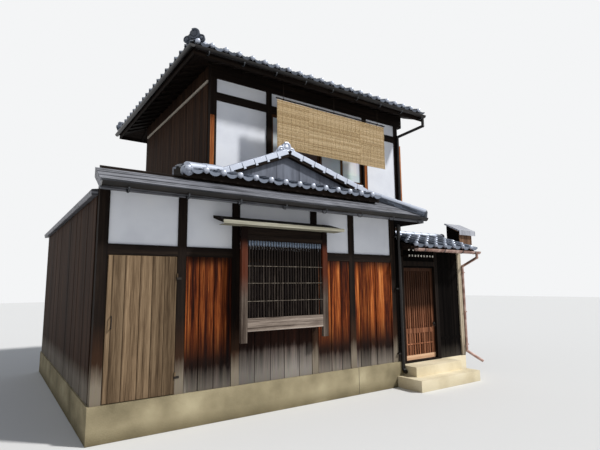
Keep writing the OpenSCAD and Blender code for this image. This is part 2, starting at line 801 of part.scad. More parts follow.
// The rakes: a band in front of the gable's face under a row of tiles in two steps
module gablet_rakes() {
    step = rake_w / 5;
    color("#5f6368") difference() {
        union() {
            along_y(rake_band(0), [rake_y, gablet_y]);
            along_y(rake_band(rake_h * 0.6), [rake_y, rake_y + rake_w]);
            along_y(rake_band(rake_h), [rake_y + step, rake_y + rake_w - step]);
        }
        along_x([[-skirt_y, skirt_z - 500], [-skirt_y, skirt_z], [gablet_y, skirt_top(gablet_y)],
            [roof_y, skirt_top(gablet_y)], [roof_y, skirt_top(gablet_y) - 500]],
            [-tile_left - 10, skirt_r + 10]);
        gablet_face();
    }
}

module lower_roof_left() {
    section = [
        [-tile_left, left_z(-tile_left) - tile_t], [-tile_left, left_z(-tile_left)],
        [ridge_x, ridge_z], [ridge_x, ridge_z - tile_t]];
    plan = [
        [-tile_left, roof_y], [ridge_x, roof_y], [ridge_x, up_y0], [up_x0, up_y0],
        [up_x0, up_y1 + rear_reach], [-tile_left, up_y1 + rear_reach]];
    z = [left_z(-tile_left) - tile_t, ridge_z + roll_h];
    roll_start = roof_y + ridge_w / 2;
    roll_end = ridge_x - ridge_w / 2 - tile_gap;
    color("#5f6368") union() {
        intersection() {
            along_y(section, [roof_y, up_y1 + rear_reach]);
            along_z(plan, z);
        }
        intersection() {
            translate([-tile_left, up_y0, left_z(-tile_left)]) rotate([0, 0, -90])
                tile_rolls(up_y0 - roll_start, ridge_x + tile_left, left_pitch);
            block([-tile_left, roll_end], [roll_start, up_y0], z);
        }
        intersection() {
            translate([-tile_left, up_y1 + rear_reach, left_z(-tile_left)]) rotate([0, 0, -90])
                tile_rolls(up_y1 + rear_reach - up_y0, up_x0 + tile_left, left_pitch);
            block([-tile_left, up_x0], [up_y0, up_y1 + rear_reach], z);
        }
    }
}

module lower_roof_right() {
    section = [
        [ridge_x, ridge_z - tile_t], [ridge_x, ridge_z], [break_x, right_z(break_x)],
        [break_x, right_z(break_x) - tile_t]];
    y0 = roof_y + ridge_w / 2;
    run = break_x - ridge_x;
    color("#5f6368") union() {
        along_y(section, [roof_y, up_y0]);
        intersection() {
            translate([break_x, y0, right_z(break_x)]) rotate([0, 0, 90])
                tile_rolls(up_y0 - y0, run, right_pitch);
            block([ridge_x + ridge_w / 2 + tile_gap, break_x], [y0, up_y0],
                [right_z(break_x) - tile_bed, ridge_z + roll_h]);
        }
    }
}

module lean_to_roof() {
    section = [
        [lean_x, lean_z(lean_x) - lean_t], [lean_x, lean_z(lean_x)],
        [-tile_left, lean_z(-tile_left)], [-tile_left, lean_z(-tile_left) - lean_t]];
    color("#9a9c9e") along_y(section, [back, up_y1 + rear_reach]);
}

module corner_roof() {
    top = flank_z(break_x);
    section = [
        [break_x, top - pent_t], [break_x, top], [corner_x, pent_z],
        [corner_x, pent_z - pent_t]];
    plan = [[break_x, roof_y], [corner_x, pent_y], [corner_x, up_y0], [break_x, up_y0]];
    rolls = [
        [break_x, roof_y + hip_side], [corner_x, pent_y + hip_side], [corner_x, up_y0],
        [break_x, up_y0]];
    color("#5f6368") union() {
        intersection() {
            along_y(section, [pent_y, up_y0]);
            along_z(plan, [pent_z - pent_t, top]);
        }
        intersection() {
            translate([corner_x, pent_y, pent_z]) rotate([0, 0, 90])
                tile_rolls(up_y0 - pent_y, corner_x - break_x, pent_pitch);
            along_z(rolls, [pent_z - tile_bed, top + roll_h]);
        }
    }
}

// Distance along an eave from a hip's line to where the tile columns stop beside it
hip_side = (hip_w / 2 + tile_gap) * sqrt(2);

// A tiled ridge: straight sides under a round cap, drawn out along +X from the origin
module ridge_bar(length, w, h) {
    rotate([90, 0, 90]) linear_extrude(length) union() {
        translate([-w / 2, 0]) square([w, h - w / 4]);
        translate([0, h - w / 4]) intersection() {
            circle(r = w / 2, $fn = 32);
            translate([-w / 2, 0]) square([w, w / 4]);
        }
    }
}

// The ornamental end of a ridge, facing -X: a shouldered plate with a boss and two scrolls
module end_tile(w, h) {
    translate([-end_t, 0, 0]) rotate([90, 0, 90]) {
        linear_extrude(end_t) union() {
            translate([-w / 2, 0]) square([w, h / 2]);
            translate([0, h - w * 0.3]) circle(r = w * 0.3, $fn = 40);
            translate([-w * 0.3, 0]) square([w * 0.6, h - w * 0.3]);
            for (side = [-1, 1])
                translate([side * w * 0.4, h / 2]) circle(r = w * 0.16, $fn = 32);
        }
        translate([0, h - w * 0.3, -end_t / 2]) cylinder(h = end_t, r = w * 0.18, $fn = 32);
    }
}

// A row of half-round tiles down a hip, from a little past its top point to its foot
module hip_bar(top, foot) {
    run = norm([foot[0] - top[0], foot[1] - top[1]]);
    sunk = 1.5 * ridge_bed;
    lap = hip_w / 4;
    translate(top) rotate([0, 0, atan2(foot[1] - top[1], foot[0] - top[0])])
        rotate([0, atan2(top[2] - foot[2], run), 0]) translate([-lap, 0, -sunk])
            ridge_bar(norm(foot - top) + lap - end_t / 2, hip_w, hip_h + sunk);
}

module lower_ridges() {
    foot = [-tile_left + hip_w / 2, -skirt_y + hip_w / 2];
    color("#55595e") {
        difference() {
            translate([ridge_x, rake_y, ridge_z - ridge_bed]) rotate([0, 0, 90]) {
                ridge_bar(up_y0 - rake_y, ridge_w, ridge_h);
                end_tile(gable_end_w, gable_end_h);
            }
            gablet_rakes();
            gablet_face();
            lower_roof_left();
            lower_roof_right();
        }
        difference() {
            hip_bar([break_x, roof_y, pent_top(roof_y)], [corner_x, pent_y, pent_z]);
            pent_roof();
            corner_roof();
            lower_roof_right();
            skirt_roof();
            gablet_face();
            gablet_rakes();
        }
        difference() {
            hip_bar([rake_left, rake_y, skirt_top(rake_y)],
                [foot[0], foot[1], skirt_top(foot[1])]);
            skirt_roof();
            gablet_face();
            gablet_rakes();
            lower_roof_left();
        }
    }
}

module upper_floor() {
    in_y = up_y1 - post_w;
    wing_in = up_y0 + post_w;
    outline = [
        [up_x0, back], [inner_w, back], [inner_w, wing_in], [up_in[1], wing_in],
        [up_in[1], in_y], [up_x0, in_y]];
    color("#8a6a48") along_z(outline, [beam_z - floor_t, beam_z]);
}

module upper_posts() {
    color("#2b211a")
        for (x = up_post_x)
            block([x - post_w / 2, x + post_w / 2], [up_y0, up_y0 + post_w],
                [beam_z, upper_plate_z]);
}

module upper_beams() {
    section = [
        [up_y0, upper_plate_z], [up_y0 + post_w, upper_plate_z],
        [up_y0 + post_w, front_z(up_y0 + post_w) - upper_t], [up_y0, wall_top]];
    color("#2b211a") {
        for (i = [0 : 2])
            block([up_post_x[i] + post_w / 2, up_post_x[i + 1] - post_w / 2],
                [up_y0, up_y0 + post_w], [tie_z, tie_top]);
        difference() {
            along_x(section, [up_x0, up_x1 + plate_end]);
            upper_slab_hip();
        }
    }
}

// The front eave's rafters, from the wall to the board across their ends
module front_rafters() {
    y0 = eave_y[0];
    last = floor((up_x1 - rafter_w - up_x0) / rafter_pitch);
    function under(y) = front_z(y) - upper_t;
    for (i = [0 : last])
        along_x([[y0, under(y0)], [up_y0, under(up_y0)], [up_y0, under(up_y0) - rafter_h],
            [y0, under(y0) - rafter_h]], [rafter_x(i), rafter_x(i) + rafter_w]);
    along_x([[y0, under(y0)], [y0 + fascia_t, under(y0 + fascia_t)],
        [y0 + fascia_t, under(y0) - rafter_h], [y0, under(y0) - rafter_h]],
        [eave_x[0], eave_x[1]]);
}

module hip_rafters() {
    x0 = eave_x[0];
    span = up_y1 - rafter_w - up_y0;
    last = floor(span / rafter_pitch);
    gap = 2;
    function under(x) = hip_z(x) - upper_t;
    for (i = [0 : last])
        along_y([[x0, under(x0)], [up_x0, under(up_x0)], [up_x0, under(up_x0) - rafter_h],
            [x0, under(x0) - rafter_h]],
            [up_y0 + i * span / last, up_y0 + i * span / last + rafter_w]);
    along_y([[x0, under(x0)], [x0 + fascia_t, under(x0 + fascia_t)],
        [x0 + fascia_t, under(x0) - rafter_h], [x0, under(x0) - rafter_h]],
        [eave_y[0] + fascia_t + gap, eave_y[1] - fascia_t - gap]);
}

module upper_rafters() {
    color("#2b211a") difference() {
        union() {
            front_rafters();
            translate([0, 2 * ridge_y, 0]) mirror([0, 1, 0]) front_rafters();
            hip_rafters();
        }
        upper_slab_front();
        translate([0, 2 * ridge_y, 0]) mirror([0, 1, 0]) upper_slab_front();
        upper_slab_hip();
    }
}

module upper_plaster() {
    color("#efece4")
        for (i = [0 : 2]) {
            x = [up_post_x[i] + post_w / 2, up_post_x[i + 1] - post_w / 2];
            block(x, up_panel_y, [beam_z, i == 1 ? upper_sill_z : tie_z]);
            block(x, up_panel_y, [tie_top, upper_plate_z]);
        }
}

module upper_left_wall() {
    section = [
        [up_x0, beam_z], [up_in[0], beam_z], [up_in[0], hip_z(up_in[0]) - upper_t],
        [up_x0, hip_z(up_x0) - upper_t]];
    color("#3a2b20") along_y(section, [up_y0 + post_w, up_y1 - post_w]);
}

module upper_windows() {
    x = [up_post_x[1] + post_w / 2, up_post_x[2] - post_w / 2];
    w = (x[1] - x[0]) / upper_sashes;
    rear_w = rear_win_w / upper_sashes;
    color("#5a4634")
        for (i = [0 : upper_sashes - 1]) {
            sash([x[0] + i * w, x[0] + (i + 1) * w], front_track(i % 2), [upper_sill_z, tie_z]);
            sash([rear_window_x[0] + i * rear_w, rear_window_x[0] + (i + 1) * rear_w],
                rear_track(i % 2), rear_window_z[1]);
        }
}

// Three blinds tied to one rod, the outer two in front of the middle one's edges
module bamboo_blinds() {
    y = eave_y[0] + rod_y;
    cord_r = 5;
    bays = [
        ceil((blind_x - up_x0) / rafter_pitch),
        floor((blind_x + blind_w1 + blind_w2 + blind_w3 - up_x0) / rafter_pitch) - 1];
    split = [blind_x + blind_w1, blind_x + blind_w1 + blind_w2];
    right = split[1] + blind_w3;
    cord_top = front_z(y - cord_r) - upper_t;
    color("#c9a877") union() {
        block([blind_x, split[0] + blind_lap], [y - blind_t, y], [rod_z - blind_l, rod_z]);
        block([split[0], split[1]], [y, y + blind_t], [rod_z - blind_l, rod_z]);
        block([split[1] - blind_lap, right], [y - blind_t, y],
            [rod_z - blind_l - blind_drop, rod_z]);
        translate([blind_x - rod_r, y, rod_z]) rotate([0, 90, 0])
            cylinder(h = right - blind_x + 2 * rod_r, r = rod_r, $fn = 24);
        for (i = [bays[0], round((bays[0] + bays[1]) / 2), bays[1]])
            translate([rafter_x(i) + (rafter_pitch + rafter_w) / 2, y, rod_z])
                cylinder(h = cord_top - rod_z, r = cord_r, $fn = 16);
    }
}

module upper_slab_front() {
    section = [
        [eave_y[0], upper_eave_z - upper_t], [eave_y[0], upper_eave_z],
        [ridge_y, ridge_top], [ridge_y, ridge_top - upper_t]];
    plan = [
        [eave_x[0], eave_y[0]], [eave_x[1], eave_y[0]], [eave_x[1], ridge_y],
        [eave_x[0] + hip_run, ridge_y]];
    intersection() {
        along_x(section, eave_x);
        along_z(plan, [upper_eave_z - upper_t, ridge_top]);
    }
}

module upper_roof_front() {
    stop = ridge_y - ridge_w / 2 - tile_gap;
    rolls = [
        [eave_x[0] + hip_side, eave_y[0]], [eave_x[1], eave_y[0]], [eave_x[1], stop],
        [eave_x[0] + hip_side + stop - eave_y[0], stop]];
    color("#5f6368") union() {
        upper_slab_front();
        intersection() {
            translate([eave_x[0], eave_y[0], upper_eave_z])
                tile_rolls(eave_x[1] - eave_x[0], hip_run, upper_pitch);
            along_z(rolls, [upper_eave_z - tile_bed, ridge_top + roll_h]);
        }
    }
}

module upper_roof_rear() {
    color("#5f6368") translate([0, 2 * ridge_y, 0]) mirror([0, 1, 0]) upper_roof_front();
}

module upper_slab_hip() {
    peak = eave_x[0] + hip_run;
    section = [
        [eave_x[0], upper_eave_z - upper_t], [eave_x[0], upper_eave_z],
        [peak, ridge_top], [peak, ridge_top - upper_t]];
    plan = [[eave_x[0], eave_y[0]], [peak, ridge_y], [eave_x[0], eave_y[1]]];
    intersection() {
        along_y(section, eave_y);
        along_z(plan, [upper_eave_z - upper_t, ridge_top]);
    }
}

module upper_roof_hip() {
    rolls = [
        [eave_x[0], eave_y[0] + hip_side], [eave_x[0] + hip_run - hip_side, ridge_y],
        [eave_x[0], eave_y[1] - hip_side]];
    color("#5f6368") union() {
        upper_slab_hip();
        intersection() {
            translate([eave_x[0], eave_y[1], upper_eave_z]) rotate([0, 0, -90])
                tile_rolls(eave_y[1] - eave_y[0], hip_run, upper_pitch);
            along_z(rolls, [upper_eave_z - tile_bed, ridge_top + roll_h]);
        }
    }
}

module upper_ridges() {
    peak = [eave_x[0] + hip_run, ridge_y, ridge_top];
    color("#55595e") difference() {
        union() {
            translate(peak - [hip_w / 2, 0, ridge_bed])
                ridge_bar(eave_x[1] - peak[0] + hip_w / 2, ridge_w, ridge_h + ridge_bed);
            translate([eave_x[1], ridge_y, ridge_top - ridge_bed]) rotate([0, 0, 180])
                end_tile(end_w, end_h);
            for (i = [0, 1]) {
                turn = i == 0 ? 45 : -45;
                hip_bar(peak, [eave_x[0], eave_y[i], upper_eave_z]);
                translate([eave_x[0], eave_y[i], upper_eave_z - ridge_bed]) rotate([0, 0, turn])
                    translate([end_t, 0, 0]) end_tile(end_w, end_h);
            }
        }
        upper_slab_front();
        translate([0, 2 * ridge_y, 0]) mirror([0, 1, 0]) upper_slab_front();
        upper_slab_hip();
    }
}

// A straight length of pipe between two points
module pipe_run(from, to) {
    flat = norm([to[0] - from[0], to[1] - from[1]]);
    translate(from) rotate([0, 0, atan2(to[1] - from[1], to[0] - from[0])])
        rotate([0, 90 + atan2(from[2] - to[2], flat), 0])
            cylinder(h = norm(to - from), r = pipe_r, $fn = 32);
}

// The eave's gutter, and the pipe from its right end across to the wall and down, with a
// slightly thicker joint at each bend
module upper_gutter() {
    rim_z = upper_eave_z - upper_drop;
    gutter_y = eave_y[0] - gutter_r;
    pipe_y = up_y0 - pipe_r - 5;
    outlet = [eave_x[1] - 2 * pipe_r, gutter_y, rim_z - gutter_r - outlet_l];
    bend = [up_x1 - pipe_r, pipe_y, outlet[2] - outlet_fall];
    foot = [bend[0], bend[1], right_z(break_x) + 40];
    color("#2d2a28") union() {
        gutter(eave_x, gutter_y, rim_z);
        translate(outlet) cylinder(h = outlet_l + gutter_wall, r = pipe_r, $fn = 32);
        for (joint = [outlet, bend])
            translate(joint) sphere(r = pipe_r + gutter_wall, $fn = 32);
        pipe_run(outlet, bend);
        pipe_run(bend, foot);
        for (z = [foot[2] + 300, bend[2] - 200])
            block([bend[0] - clip_h / 2, bend[0] + clip_h / 2], [pipe_y, up_y0], [z, z + clip_h]);
    }
}

module gate_frame() {
    back_y = [gate_y[0] + gate_d, gate_y[1] + gate_d];
    top = gate_plate_z + gate_roof_t;
    color("#4a382a") difference() {
        union() {
            for (x = gate_post_x)
                block([x, x + gate_post_w], gate_y, [step_2, top]);
            for (x = [gate_post_x[0], gate_post_x[2]]) {
                block([x, x + gate_post_w], back_y, [0, top]);
                block([x, x + gate_post_w], [gate_y[0], back_y[1]],
                    [gate_plate_z - gate_beam_h, gate_plate_z]);
            }
            for (y = [gate_y, back_y])
                block([gate_post_x[0], gate_right], y, [gate_plate_z - gate_beam_h, top]);
            block([gate_post_x[0], gate_post_x[1]], gate_y, [step_2, gate_sill_z]);
            block([gate_post_x[0], gate_post_x[1]], gate_y,
                [gate_head_z, gate_head_z + gate_head_h]);
        }
        gate_roof_shape(gate_d);
    }
}

// The gate roof's two slopes; extra height makes it a cutter for what it rests on
module gate_roof_shape(extra) {
    ends = [gate_eave_y, 2 * gate_ridge_y - gate_eave_y];
    top = gate_top(gate_ridge_y);
    along_x([
        [ends[0], gate_eave_z - gate_roof_t], [gate_ridge_y, top - gate_roof_t],
        [ends[1], gate_eave_z - gate_roof_t], [ends[1], gate_eave_z + extra],
        [gate_ridge_y, top + extra], [ends[0], gate_eave_z + extra]],
        gate_roof_x);
}

module gate_panel() {
    y = [gate_line - gate_board_t / 2, gate_line + gate_board_t / 2];
    top = gate_plate_z - gate_beam_h;
    color("#33261d") {
        block([gate_post_x[1] + gate_post_w, gate_post_x[2]], y, [step_2, top]);
        union() {
            block([half_w, gate_post_x[0]], y, [plinth_h, top]);
            block([half_w + plinth_out, gate_post_x[0]], y, [step_2, plinth_h]);
        }
        block([gate_post_x[0] + gate_post_w, gate_post_x[1]], y,
            [gate_head_z + gate_head_h, top]);
    }
}

module gate_roof() {
    cap_w = rake_w + 10;
    width = gate_roof_x[1] - gate_roof_x[0];
    run = gate_ridge_y - gate_eave_y;
    top = gate_top(gate_ridge_y);
    stop = gate_ridge_y - cap_w / 2 - tile_gap;
    module front_rolls() {
        intersection() {
            translate([gate_roof_x[0], gate_eave_y, gate_eave_z])
                tile_rolls(width, run, gate_pitch);
            block(gate_roof_x, [gate_eave_y, stop], [gate_eave_z - tile_bed, top + roll_h]);
        }
    }
    color("#5f6368") union() {
        gate_roof_shape(0);
        front_rolls();
        translate([0, 2 * gate_ridge_y, 0]) mirror([0, 1, 0]) front_rolls();
        translate([gate_roof_x[0], gate_ridge_y, top - ridge_bed])
            ridge_bar(width, cap_w, hip_h);
    }
}

module gate_gutter() {
    pipe_x = gate_post_x[2] + gate_post_w / 2;
    pipe_z = [step_2, gate_plate_z - gate_beam_h];
    color("#a07868") {
        gutter([gate_post_x[0], gate_right + gutter_r], gate_eave_y - gutter_r,
            gate_eave_z - gate_drop);
        translate([pipe_x, gate_y[0] - pipe_r, pipe_z[0]])
            cylinder(h = pipe_z[1] - pipe_z[0], r = pipe_r, $fn = 32);
    }
}

module meter_box() {
    lid_t = 20;
    x = [gate_right, gate_right + meter_w];
    y = [gate_y[0], gate_y[0] + meter_d];
    z = [gate_plate_z - gate_post_w / 2, gate_plate_z - gate_post_w / 2 + meter_h];
    color("#9a7450") union() {
        along_x([[y[0], z[0]], [y[1], z[0]], [y[1], z[1] + meter_rise], [y[0], z[1]]], x);
        along_x([[y[0] - meter_lid, z[1]], [y[0], z[1]], [y[1], z[1] + meter_rise],
            [y[1], z[1] + meter_rise + lid_t], [y[0] - meter_lid, z[1] + lid_t]],
            [x[0] - meter_lid, x[1] + meter_lid]);
    }
}

module entrance_steps() {
    x0 = half_w + plinth_out;
    upper_x = [half_w + step_x, half_w + step_x + step_w];
    lower_x = [upper_x[0] - step_side, upper_x[1] + step_side];
    lower_y = -step_reach - step_tread;
    lower = [
        [lower_x[0], lower_y], [lower_x[1], lower_y], [lower_x[1], gate_y[0]],
        [x0, gate_y[0]], [x0, front - plinth_out], [lower_x[0], front - plinth_out]];
    color("#d8cfba") union() {
        along_z(lower, [0, step_1]);
        block(upper_x, [-step_reach, gate_y[0]], [0, step_2]);
        block([x0, gate_right], gate_y, [0, step_2]);
    }
}

module hinge_pins() {
    color("#3a3a3a") {
        for (z = side_hinge_z)
            hinge_pin(side_axis, z, [side_axis[0], side_axis[0] + plate_l], front);
        for (z = gate_hinge_z)
            hinge_pin(gate_axis, z, [gate_axis[0] - plate_l, gate_axis[0]], gate_y[1]);
    }
}

module side_door() {
    color("#6b5a48") union() {
        block(door_x, [front, front + door_t], door_z);
        for (z = side_hinge_z)
            hinge_eye(side_axis, z, [side_axis[0] - strap_l, side_axis[0]], front);
    }
}

module side_door_pull() {
    x = door_x[0] + pull_x;
    z = door_z[0] + pull_h;
    reach = 40;
    color("#3a3a3a") union() {
        for (s = [-1, 1])
            translate([x, front, z + s * (pull_l / 2 - pin_r)]) rotate([90, 0, 0])
                cylinder(h = reach, r = pin_r, $fn = 24);
        translate([x, front - reach, z - pull_l / 2]) cylinder(h = pull_l, r = pin_r, $fn = 24);
    }
}

module gate_door() {
    y = gate_leaf_y;
    inset = gate_leaf_t / 4;
    rails = [leaf_z[0], leaf_z[0] + gate_rail_z, leaf_z[1] - gate_rail_h];
    open_x = [leaf_x[0] + gate_stile_w, leaf_x[1] - gate_stile_w];
    count = floor((open_x[1] - open_x[0]) / gate_bar_pitch) - 1;
    first = (open_x[0] + open_x[1] - (count - 1) * gate_bar_pitch - gate_bar_w) / 2;
    color("#8a4a30") union() {
        for (x = [leaf_x[0], open_x[1]])
            block([x, x + gate_stile_w], y, leaf_z);
        for (z = rails)
            block(leaf_x, y, [z, z + gate_rail_h]);
        for (i = [0 : count - 1])
            translate([first + i * gate_bar_pitch, 0, 0])
                block([0, gate_bar_w], [y[0] + inset, y[1] - inset], leaf_z);
        for (z = gate_hinge_z)
            hinge_eye(gate_axis, z, [gate_axis[0], gate_axis[0] + gate_stile_w - 10], gate_y[1]);
    }
}

module gate_pull() {
    pull_r = 24;
    color("#3a3a3a")
        translate([leaf_x[1] - gate_stile_w / 2, gate_leaf_y[0], leaf_z[0] + gate_pull_h])
            rotate([90, 0, 0]) cylinder(h = pull_r, r = pull_r, $fn = 32);
}

front_plinth();
house_plinths();
ground_floor();
front_posts();
front_beams();
front_boards();
front_plaster();
left_wall();
forecourt_walls();
right_wall();
rear_wall();
carrying_beams();
lattice_frame();
lattice_bars();
window_canopy();
ground_windows();
pent_roof();
lower_gutter();
skirt_roof();
gablet_face();
gablet_rakes();
lower_roof_left();
lower_roof_right();
lean_to_roof();
corner_roof();
lower_ridges();
upper_floor();
upper_posts();
upper_beams();
upper_rafters();
upper_plaster();
upper_left_wall();
upper_windows();
bamboo_blinds();
upper_roof_front();
upper_roof_rear();
upper_roof_hip();
upper_ridges();
upper_gutter();
gate_frame();
gate_panel();
gate_roof();
gate_gutter();
meter_box();
entrance_steps();
hinge_pins();
side_door();
side_door_pull();
gate_door();
gate_pull();
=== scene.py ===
# A machiya townhouse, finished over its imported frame. Metres, +X along the street,
# +Y into the house, +Z up; Y = 0 is the line of the street posts.
import math
import random

import bmesh
import bpy
from mathutils import Matrix, Vector


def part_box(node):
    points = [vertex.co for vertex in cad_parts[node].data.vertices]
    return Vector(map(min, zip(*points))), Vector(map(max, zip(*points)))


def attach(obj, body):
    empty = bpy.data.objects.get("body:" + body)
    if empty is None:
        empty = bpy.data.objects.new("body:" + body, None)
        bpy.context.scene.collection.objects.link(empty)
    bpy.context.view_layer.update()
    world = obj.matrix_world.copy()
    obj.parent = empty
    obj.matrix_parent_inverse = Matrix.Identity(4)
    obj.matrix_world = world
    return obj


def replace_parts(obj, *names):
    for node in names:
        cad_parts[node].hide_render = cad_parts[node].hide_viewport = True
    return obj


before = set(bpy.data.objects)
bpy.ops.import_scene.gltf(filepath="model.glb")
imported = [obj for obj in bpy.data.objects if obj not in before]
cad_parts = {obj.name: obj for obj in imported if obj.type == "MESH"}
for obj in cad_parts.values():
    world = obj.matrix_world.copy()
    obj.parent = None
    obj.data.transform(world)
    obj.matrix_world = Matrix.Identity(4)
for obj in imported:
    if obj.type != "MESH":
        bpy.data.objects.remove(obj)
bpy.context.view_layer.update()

# Camera: at eye height in the street, left of the house, with a phone's main lens.
# It is turned right, tipped up a little and rolled by half a degree.
camera = bpy.data.objects.new("street_camera", bpy.data.cameras.new("street_camera"))
bpy.context.scene.collection.objects.link(camera)
camera.data.sensor_width = 36.0
camera.data.lens = 26.81
camera.data.clip_end = 200.0
TURN, TIP, ROLL = (math.radians(angle) for angle in (-34.605, 90 + 7.743, -0.5287))
camera.matrix_world = (Matrix.Translation((-3.5485, -5.81, 1.77))
                       @ Matrix.Rotation(TURN, 4, "Z") @ Matrix.Rotation(TIP, 4, "X")
                       @ Matrix.Rotation(ROLL, 4, "Z"))
bpy.context.scene.camera = camera


# Studio: a pale matt floor, an even pale surround and one wide soft lamp that stands
# high in front of the house and to its right, where the light on it comes from.
def paint(code):
    """An sRGB hex colour as linear RGBA."""
    parts = [int(code[i:i + 2], 16) / 255 for i in (1, 3, 5)]
    return [*(p / 12.92 if p <= 0.04045 else ((p + 0.055) / 1.055) ** 2.4 for p in parts), 1.0]


def wire(tree, node, sockets):
    """Gives each socket of a node a value, a hex colour or another node's output."""
    for key, value in sockets.items():
        if isinstance(value, bpy.types.NodeSocket):
            tree.links.new(value, node.inputs[key])
        else:
            node.inputs[key].default_value = paint(value) if isinstance(value, str) else value


def add_node(tree, kind, sockets, out=0, stops=(), **settings):
    """Adds a node with its links and settings, and gives back one of its outputs.

    stops are the positions and colours of a ramp."""
    node = tree.nodes.new("ShaderNode" + kind)
    for name, value in settings.items():
        setattr(node, name, value)
    for position, code in stops[2:]:
        node.color_ramp.elements.new(1.0)
    for index, (position, code) in enumerate(stops):
        node.color_ramp.elements[index].position = position
        node.color_ramp.elements[index].color = paint(code)
    wire(tree, node, sockets)
    return node.outputs[out]


def start_material(name, roughness, metallic=0.0):
    """A material with its Principled shader, and its object coordinates."""
    material = bpy.data.materials.new(name)
    material.use_nodes = True
    tree = material.node_tree
    shader = tree.nodes["Principled BSDF"]
    wire(tree, shader, {"Roughness": roughness, "Metallic": metallic})
    if not metallic:
        wire(tree, shader, {"Specular IOR Level": 0.06})
    return material, tree, shader, add_node(tree, "TexCoord", {}, out="Object")


bpy.context.scene.view_settings.view_transform = "Standard"
world = bpy.data.worlds.new("studio_surround")
bpy.context.scene.world = world
world.use_nodes = True
sky = world.node_tree
sky.nodes.clear()
ray = add_node(sky, "LightPath", {}).node.outputs
seen = ray["Is Camera Ray"]
for kind in ("Is Glossy Ray", "Is Transmission Ray"):
    seen = add_node(sky, "Math", {0: seen, 1: ray[kind]}, operation="MAXIMUM")
fill = add_node(sky, "Background", {"Color": "#e4ebf7", "Strength": 0.42})
backdrop = add_node(sky, "Background", {"Color": "#f4f5f6", "Strength": 1.0})
either = add_node(sky, "MixShader", {0: seen, 1: fill, 2: backdrop})
wire(sky, sky.nodes.new("ShaderNodeOutputWorld"), {"Surface": either})

lamp = bpy.data.objects.new("wide_lamp", bpy.data.lights.new("wide_lamp", "SUN"))
bpy.context.scene.collection.objects.link(lamp)
lamp.data.energy = 3.5
lamp.data.angle = math.radians(5)
lamp.rotation_mode = "QUATERNION"
lamp.rotation_quaternion = Vector((0.52, -0.52, 0.72)).to_track_quat("Z", "Y")

bm = bmesh.new()
bmesh.ops.create_grid(bm, x_segments=1, y_segments=1, size=60)
bmesh.ops.translate(bm, verts=bm.verts, vec=(0, 0, -0.002))
mesh = bpy.data.meshes.new("studio_floor")
bm.to_mesh(mesh)
bm.free()
floor = bpy.data.objects.new("studio_floor", mesh)
bpy.context.scene.collection.objects.link(floor)
material, tree, shader, place = start_material("pale_studio_paint", 0.9)
wire(tree, shader, {"Base Color": "#dcdbd8"})
mesh.materials.append(material)


# Plinths: concrete poured in board forms and rubbed down, with the fine stones of its
# mix showing and rain stains; one joint was cut near its right end.
def dress(material, *nodes):
    """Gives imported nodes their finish."""
    for node in nodes:
        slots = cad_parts[node].material_slots
        for slot in slots:
            slot.material = material
        if not slots:
            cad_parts[node].data.materials.append(material)


def concrete(name, dark, mid, light, joint_x=None, wet=0.6):
    """Concrete with stones of about 9 mm, clouds of half a metre, and a damp foot."""
    material, tree, shader, place = start_material(name, 0.88)
    cloud = add_node(tree, "TexNoise", {"Vector": place, "Scale": 2.0, "Detail": 6.0})
    stone = add_node(tree, "TexNoise", {"Vector": place, "Scale": 1000 / 9, "Detail": 3.0,
                                        "Roughness": 0.7})
    both = add_node(tree, "Mix", {0: 0.45, 2: cloud, 3: stone})
    tint = add_node(tree, "ValToRGB", {0: both}, stops=[(0.34, dark), (0.52, mid), (0.68, light)])
    axes = add_node(tree, "SeparateXYZ", {0: place}).node.outputs
    rise = add_node(tree, "Math", {0: cloud, 1: -0.2, 2: axes["Z"]}, operation="MULTIPLY_ADD")
    damp = add_node(tree, "MapRange", {0: rise, 1: 0.06, 2: -0.08, 3: 0.0, 4: wet})
    colour = add_node(tree, "Mix", {0: damp, 6: tint, 7: "#8f8a7c"}, out=2, data_type="RGBA",
                      blend_type="MULTIPLY")
    if joint_x is not None:
        cut = add_node(tree, "Math", {0: axes["X"], 1: joint_x, 2: 0.005}, operation="COMPARE")
        colour = add_node(tree, "Mix", {0: cut, 6: colour, 7: "#4f493e"}, out=2, data_type="RGBA")
    grit = add_node(tree, "Bump", {"Height": stone, "Strength": 0.5, "Distance": 0.003})
    wire(tree, shader, {"Base Color": colour, "Normal": grit})
    return material


dress(concrete("rubbed_plinth_concrete", "#6b624c", "#9b8f72", "#c0b494", joint_x=1.55),
      "front_plinth", "house_plinths")

# Steps: two treads of paler trowelled mortar before the gate, cream where feet keep
# them clean.
dress(concrete("trowelled_step_mortar", "#c6b797", "#e6d9ba", "#ece1c8", wet=0.25),
      "entrance_steps")


